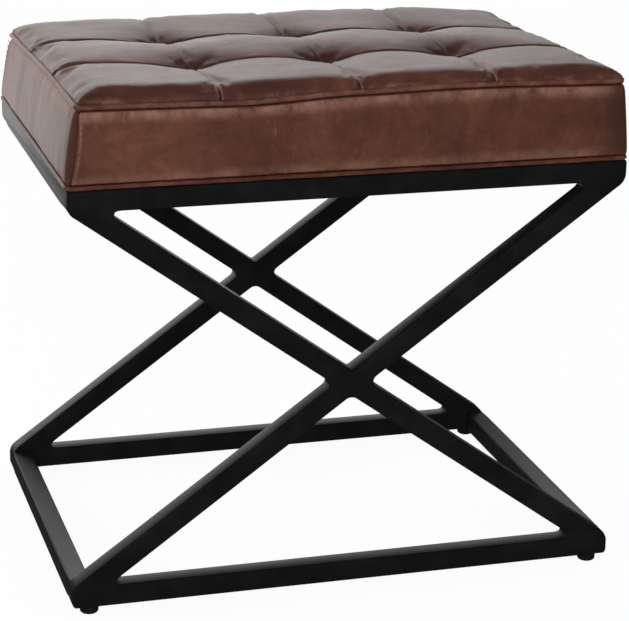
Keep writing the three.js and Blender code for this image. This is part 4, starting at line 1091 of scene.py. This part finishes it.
def side_band(name, paint):
    """Leather side wall, pulled in at both welts and at its corner seams, with its turned-under lip."""
    low, high = BANDS[name]
    near_seam = np.array(NEAR_SEAM) * MM
    middle = even([6 * MM, high - low - 12 * MM, high - low - 6 * MM], 2.2 * MM)
    walk = low + np.concatenate((near_seam, middle, (high - low) - near_seam[::-1]))
    tall = BAND_HIGH - BAND_LOW
    near_welt = np.array(NEAR_WELT) * MM
    rise = np.concatenate((near_welt, [tall / 2], tall - near_welt[::-1]))
    share = rise / tall
    level = BAND_LOW + share * (tall + seam_level_lift(walk)[:, None])
    face, outward = edge_place(walk[:, None], share[None, :])
    wall = np.concatenate((face, level[..., None]), axis=-1)
    from_welt = np.minimum(rise, tall - rise)[None, :]
    from_seam = np.minimum(walk - low, high - walk)[:, None]
    out = -1.1 * bell(from_welt, 1.5 * MM, 1) - 0.7 * bell(from_seam, 0.8 * MM, 1.2)
    out = out + 0.3 * bell(from_seam - 2.6 * MM, 1.5 * MM)
    gather = smooth_noise(wall * (1, 1, 0.2), 9 * MM, 20) * bell(from_welt, 9 * MM, 1)
    drape = smooth_noise(wall * (1, 1, 0.3), 38 * MM, 21)
    slack = smooth_noise(wall * (1, 1, 0.45), 17 * MM, 22)
    out = out + 0.32 * gather + 0.38 * drape + 0.16 * slack
    points = wall.copy()
    points[..., :2] += outward * (out * MM)[..., None]
    foot, facing = edge_place(walk)
    facing_x, facing_y = np.abs(facing).T
    straight = np.where(facing_x > 0.999, REACH_Y - np.abs(foot[:, 1]), REACH_X - np.abs(foot[:, 0]))
    square = np.maximum(facing_x, facing_y) > 0.999
    run = np.where(square, np.clip(straight / LIP_FADE, 0, 1), 0)
    inset = CORNER_LIP + (LIP - CORNER_LIP) * run * run * (3 - 2 * run)
    lip = RING_TOP + 0.15 * MM
    under = (
        (inset, lip),
        ((inset + 4 * MM) / 2, lip),
        (4.0 * MM, lip),
        (3.5 * MM, lip + 0.5 * MM),
        (3.4 * MM, BAND_LOW - 0.9 * MM),
        (3.0 * MM, BAND_LOW - 0.35 * MM),
        (2.0 * MM, BAND_LOW - 0.15 * MM),
    )
    over = ((2.2 * MM, 0.1 * MM), (3.4 * MM, 0.3 * MM))
    stack = lambda *values: np.stack(np.broadcast_arrays(*values), axis=-1)[:, None, :]
    row = lambda p, depth, z: stack(p[:, 0] - facing[:, 0] * depth, p[:, 1] - facing[:, 1] * depth, z)
    lower = [row(foot, depth, z) for depth, z in under]
    upper = [row(face[:, -1], depth, level[:, -1] + z) for depth, z in over]
    points = np.concatenate((*lower, points, *upper), axis=1)
    band = mesh_piece(f"{name}_leather_band", points, grid_faces(*points.shape[:2]))
    rise = np.pad(rise, (len(under), len(over)), "edge")[None, :]
    keep_reach(band, tall - rise, walk[:, None] - low, high - walk[:, None])
    thicken(band, LEATHER)
    finish_piece(band, paint, "hide", "stool", f"{name}_side_band")


def piping(name, node, level, diameter, share, sunk, paint):
    """Leather-covered cord sewn into a seam, in a closed loop round the cushion."""
    walk = np.arange(WELT_POINTS) * EDGE_LENGTH / WELT_POINTS
    place, outward = edge_place(walk, share)
    lift = share * seam_level_lift(walk)
    flat = np.stack((place[:, 0], place[:, 1], np.full(WELT_POINTS, level)), axis=-1)
    sway = 0.28 * smooth_noise(flat, 42 * MM, level) * MM
    bob = 0.22 * smooth_noise(flat, 30 * MM, 31 + level) * MM
    turn = np.arange(WELT_SIDES) * 2 * pi / WELT_SIDES
    x, y = place.T[:, :, None]
    facing_x, facing_y = outward.T[:, :, None]
    rings = lambda out, z: np.stack(np.broadcast_arrays(x + facing_x * out, y + facing_y * out, z), axis=-1)
    skin = rings(3 * MM * np.cos(turn), level + 3 * MM * np.sin(turn))
    crumple = 0.07 * smooth_noise(skin, 5 * MM, 33) + 0.05 * smooth_noise(skin, 12 * MM, 34)
    join = bell(x - WELT_JOIN_X, 0.7 * MM) * (y < 0)
    radius = diameter / 2 + (crumple - 0.45 * join) * MM
    sunk = sunk + (0.8 + share) * MM * np.clip((x - SINK_FROM) / SINK_OVER, 0, 1)
    z = level + (lift + bob)[:, None] + radius * np.sin(turn)
    points = rings(radius * np.cos(turn) - sunk + sway[:, None], z)
    corner = np.arange(WELT_POINTS * WELT_SIDES).reshape(WELT_POINTS, WELT_SIDES)
    ahead, beside = np.roll(corner, -1, axis=0), np.roll(corner, -1, axis=1)
    both = np.roll(ahead, -1, axis=1)
    faces = np.stack((corner, ahead, both, beside), axis=-1).reshape(-1, 4).tolist()
    cord = mesh_piece(name, points, faces)
    smooth_shaded(cord)
    return finish_piece(cord, paint, "hide", "stool", node)


# Stitches


def one_stitch():
    """A short thread lying along X, with its ends going down into the leather."""
    deselect()
    bpy.ops.mesh.primitive_cylinder_add(
        vertices=8, radius=STITCH_RADIUS, depth=STITCH, rotation=(0, pi / 2, 0)
    )
    thread = settle("stitch")
    divide(thread, -STITCH_REACH, 0, STITCH_REACH)
    mesh = edit(thread)
    for vert in mesh.verts:
        away = abs(vert.co.x) / (STITCH / 2)
        vert.co.z -= 0.5 * MM * away**3
        vert.co.yz *= 1 - 0.35 * away**2
    done(thread)
    return thread


def sew(name, places, paint):
    """One thread at each place, given with its direction and the leather's normal."""
    thread = one_stitch()
    seam = bmesh.new()
    for place, direction, normal in places:
        side = normal.cross(direction).normalized()
        direction = side.cross(normal).normalized()
        lay = Matrix((direction, side, normal)).transposed().to_4x4()
        copy = thread.data.copy()
        copy.transform(Matrix.Translation(place) @ lay)
        seam.from_mesh(copy)
        bpy.data.meshes.remove(copy)
    mesh = bpy.data.meshes.new(name)
    seam.to_mesh(mesh)
    seam.free()
    bpy.data.objects.remove(thread)
    row = new_object(name, mesh)
    smooth_shaded(row)
    return finish_piece(row, paint, "twine", "stool")


def corner_stitches(paint):
    """One row of stitches beside each corner seam, on the panel that starts there."""
    places = []
    for seam, proud in zip(SEAM_WALKS, STITCH_PROUD):
        for k in range(CORNER_STITCHES):
            z = BAND_LOW + FIRST_STITCH + STITCH_PITCH * k
            share = (z - BAND_LOW) / (BAND_HIGH - BAND_LOW)
            place, outward = edge_place(np.array([seam + STITCH_FROM_SEAM]), share, proud)
            places.append((Vector((*place[0], z)), Vector((0, 0, 1)), Vector((*outward[0], 0))))
    return sew("corner_stitches", places, paint)


def shoulder_stitches(paint):
    """The last stitches of each column seam, where it runs down the shoulder to the welt."""
    places = []
    for seam in PATH_X[1:-1]:
        for from_edge in SHOULDER_STITCHES:
            for path in (from_edge * MM, PATH_Y[-1] - from_edge * MM):
                near_path = path + np.array((-0.5, 0, 0.5)) * MM
                points, _ = top_surface(np.array((seam, seam + 1.7 * MM, seam + 3 * MM)), near_path)
                normal = Vector(normals(points)[1, 1])
                direction = Vector(points[1, 2] - points[1, 0])
                places.append((Vector(points[1, 1]) - normal * 0.15 * MM, direction, normal))
    return sew("shoulder_stitches", places, paint)


def dust_cover(paint):
    """Black cloth stapled over the underside, drawn nearly flat."""
    low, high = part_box("dust_cover")
    width, depth = high[0] - low[0], high[1] - low[1]
    deselect()
    bpy.ops.mesh.primitive_grid_add(
        x_subdivisions=60, y_subdivisions=42, size=1, location=(0, 0, high[2])
    )
    bpy.context.object.scale = (width, depth, 1)
    cover = settle("underside_cloth")
    mesh = edit(cover)
    for vert in mesh.verts:
        away = min(width / 2 - abs(vert.co.x), depth / 2 - abs(vert.co.y)) / (12 * MM)
        ripple = noise.noise(Vector((vert.co.x * 30, vert.co.y * 30, 4)))
        vert.co.z -= 0.05 * MM + min(1, away) * (0.35 + 0.25 * ripple) * MM
    done(cover)
    thicken(cover, 0.3 * MM, offset=1)
    finish_piece(cover, paint, "dust_cloth", "stool", "dust_cover")


# Stage


def camera():
    data = bpy.data.cameras.new("camera")
    data.sensor_width = 36
    data.lens = FOCAL_PIXELS / PHOTO_WIDTH * data.sensor_width
    data.shift_x = -(CENTRE_X - PHOTO_WIDTH / 2) / PHOTO_WIDTH
    data.shift_y = (CENTRE_Y - PHOTO_HEIGHT / 2) / PHOTO_WIDTH
    data.clip_end = 50
    seen = new_object("camera", data)
    a, e, r = radians(CAMERA_AZIMUTH), radians(CAMERA_ELEVATION), radians(CAMERA_ROLL)
    back = Vector((sin(a) * cos(e), -cos(a) * cos(e), sin(e)))
    right = Vector((0, 0, 1)).cross(back).normalized()
    up = back.cross(right)
    turned_right = cos(r) * right + sin(r) * up
    turned_up = cos(r) * up - sin(r) * right
    axes = Matrix((turned_right, turned_up, back)).transposed()
    seen.matrix_world = Matrix.Translation(CAMERA_PLACE) @ axes.to_4x4()
    bpy.context.scene.camera = seen


def softbox(name, place, target, width, height, radiance):
    """Area lamp that faces its target, as bright as a panel of that radiance."""
    data = bpy.data.lights.new(name, "AREA")
    data.shape = "RECTANGLE"
    data.size, data.size_y = width, height
    data.energy = radiance * pi * width * height
    lamp = new_object(name, data)
    lamp.location = place
    lamp.rotation_euler = (Vector(target) - Vector(place)).to_track_quat("-Z", "Y").to_euler()
    lamp.visible_glossy = lamp.visible_camera = False


def ray_share(paint, *kinds):
    """1 for the named kinds of ray, 0 for the rest."""
    rays = paint.add("ShaderNodeLightPath").socket.node
    total = Value(paint, rays.outputs[kinds[0]])
    for kind in kinds[1:]:
        total = total.most(Value(paint, rays.outputs[kind]))
    return total


def white_world():
    """White to the camera, white low behind the stool for reflections, and dimmer light on surfaces."""
    world = bpy.data.worlds.new("studio")
    bpy.context.scene.world = world
    sky = Paint("studio", world)
    x, y, z = sky.parts(sky.place)
    behind = (y - 0.9 * abs(x)).smooth(0.2, 0.8)
    gloss = (behind * (SKY_BACK - GLOSS_FRONT) + GLOSS_FRONT) * (1 - 0.93 * z.smooth(0.32, 0.64))
    shiny = ray_share(sky, "Is Glossy Ray", "Is Transmission Ray")
    seen = ray_share(sky, "Is Camera Ray")
    sky.set(Color=(1, 1, 1, 1), Strength=seen + (1 - seen) * (shiny * gloss + (1 - shiny) * WORLD_FILL))


def pale_floor():
    """White floor that keeps a soft shadow. Reflections see it white behind and dim in front."""
    deselect()
    bpy.ops.mesh.primitive_plane_add(size=16, location=(0, 0, 0))
    floor = bpy.context.object
    floor.name = "floor"
    paint = Paint("pale_floor")
    speck = paint.noise(60, 3, 0.5)
    paint.set(
        Base_Color=paint.mix(speck, (0.86, 0.86, 0.86), (0.88, 0.88, 0.88)),
        Roughness=0.9,
        Specular_IOR_Level=0.1,
    )
    x, y, _ = paint.parts(paint.place)
    behind = (y - 1.1 * abs(x + 0.2)).smooth(0.3, 1.2)
    gloss = behind * (FLOOR_BACK - GLOSS_FRONT) + GLOSS_FRONT
    seen = ray_share(paint, "Is Camera Ray")
    shiny = ray_share(paint, "Is Glossy Ray", "Is Transmission Ray")
    glow = paint.add("ShaderNodeEmission", None, {"Strength": seen * 1.01 + (1 - seen) * gloss})
    plain = Value(paint, paint.shader.outputs[0])
    mixed = paint.add("ShaderNodeMixShader", None, {0: (seen * 0.93).most(shiny), 1: plain, 2: glow})
    paint.put(paint.tree.nodes["Material Output"].inputs[0], mixed)
    floor.data.materials.append(paint.material)
    floor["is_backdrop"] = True


def studio():
    bpy.context.scene.view_settings.view_transform = "Standard"
    white_world()
    pale_floor()
    middle = (0, 0, 0.3)
    softbox("left_panel", (-2.4, 0.3, 1.2), middle, 1.6, 1.8, 4.0)
    softbox("top_panel", (0.3, 0.9, 2.6), middle, 2.4, 1.8, 1.0)
    softbox("back_panel", (0.9, 3.0, 1.1), (0, 0, 0.45), 3.2, 1.5, 1.0)
    softbox("front_fill", (-0.2, -2.75, 1.5), middle, 1.8, 1.4, 6.4)


coat = powder_coat()
plastic = nylon()
plating = zinc()
top_hide, band_hide = top_leather(), side_leather()
top_cord_hide = piping_leather("top", 0.35, (0.070, 0.0200, 0.0120), (0.140, 0.0450, 0.0265))
# The base piping is a darker copy of the top piping's leather: painted shade, where it sits low under the
# band.
shaded_base_cord_hide = piping_leather("base", 0.15, (0.055, 0.0130, 0.0080), (0.105, 0.0290, 0.0170))
linen = thread()
carried_over = {"_stud": plating, "_insert": plating, "_screw": plating, "seat_board": board_material()}

welded_frame(coat)
for face, side in SIDES.items():
    for end, way in ENDS.items():
        foot_pad(f"{face}_{end}", way * (HALF_WIDTH - FOOT_INSET), side * (HALF_DEPTH - TUBE / 2), plastic)
leather_top(top_hide)
foam_core(foam_material())
for number, (x, y) in enumerate(TUFTS):
    row, column = divmod(number, COLUMNS - 1)
    tuft_tie(f"tuft_tie_r{row + 1}_c{column + 1}", x, y, linen)
for name in BANDS:
    side_band(name, band_hide)
piping("top_piping", "top_welt", TOP_WELT_Z, TOP_WELT, 1.0, -0.4 * MM, top_cord_hide)
piping("base_piping", "base_welt", BASE_WELT_Z, BASE_WELT, 0.0, 0.7 * MM, shaded_base_cord_hide)
corner_stitches(linen)
shoulder_stitches(linen)
dust_cover(under_cloth())
for name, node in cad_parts.items():
    for part, finish in carried_over.items():
        if part in name:
            node.material_slots[0].material = finish.material

camera()
studio()

visual_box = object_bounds()
lines = {"cad": [list(corner) for corner in cad_box], "visual": [list(corner) for corner in visual_box]}
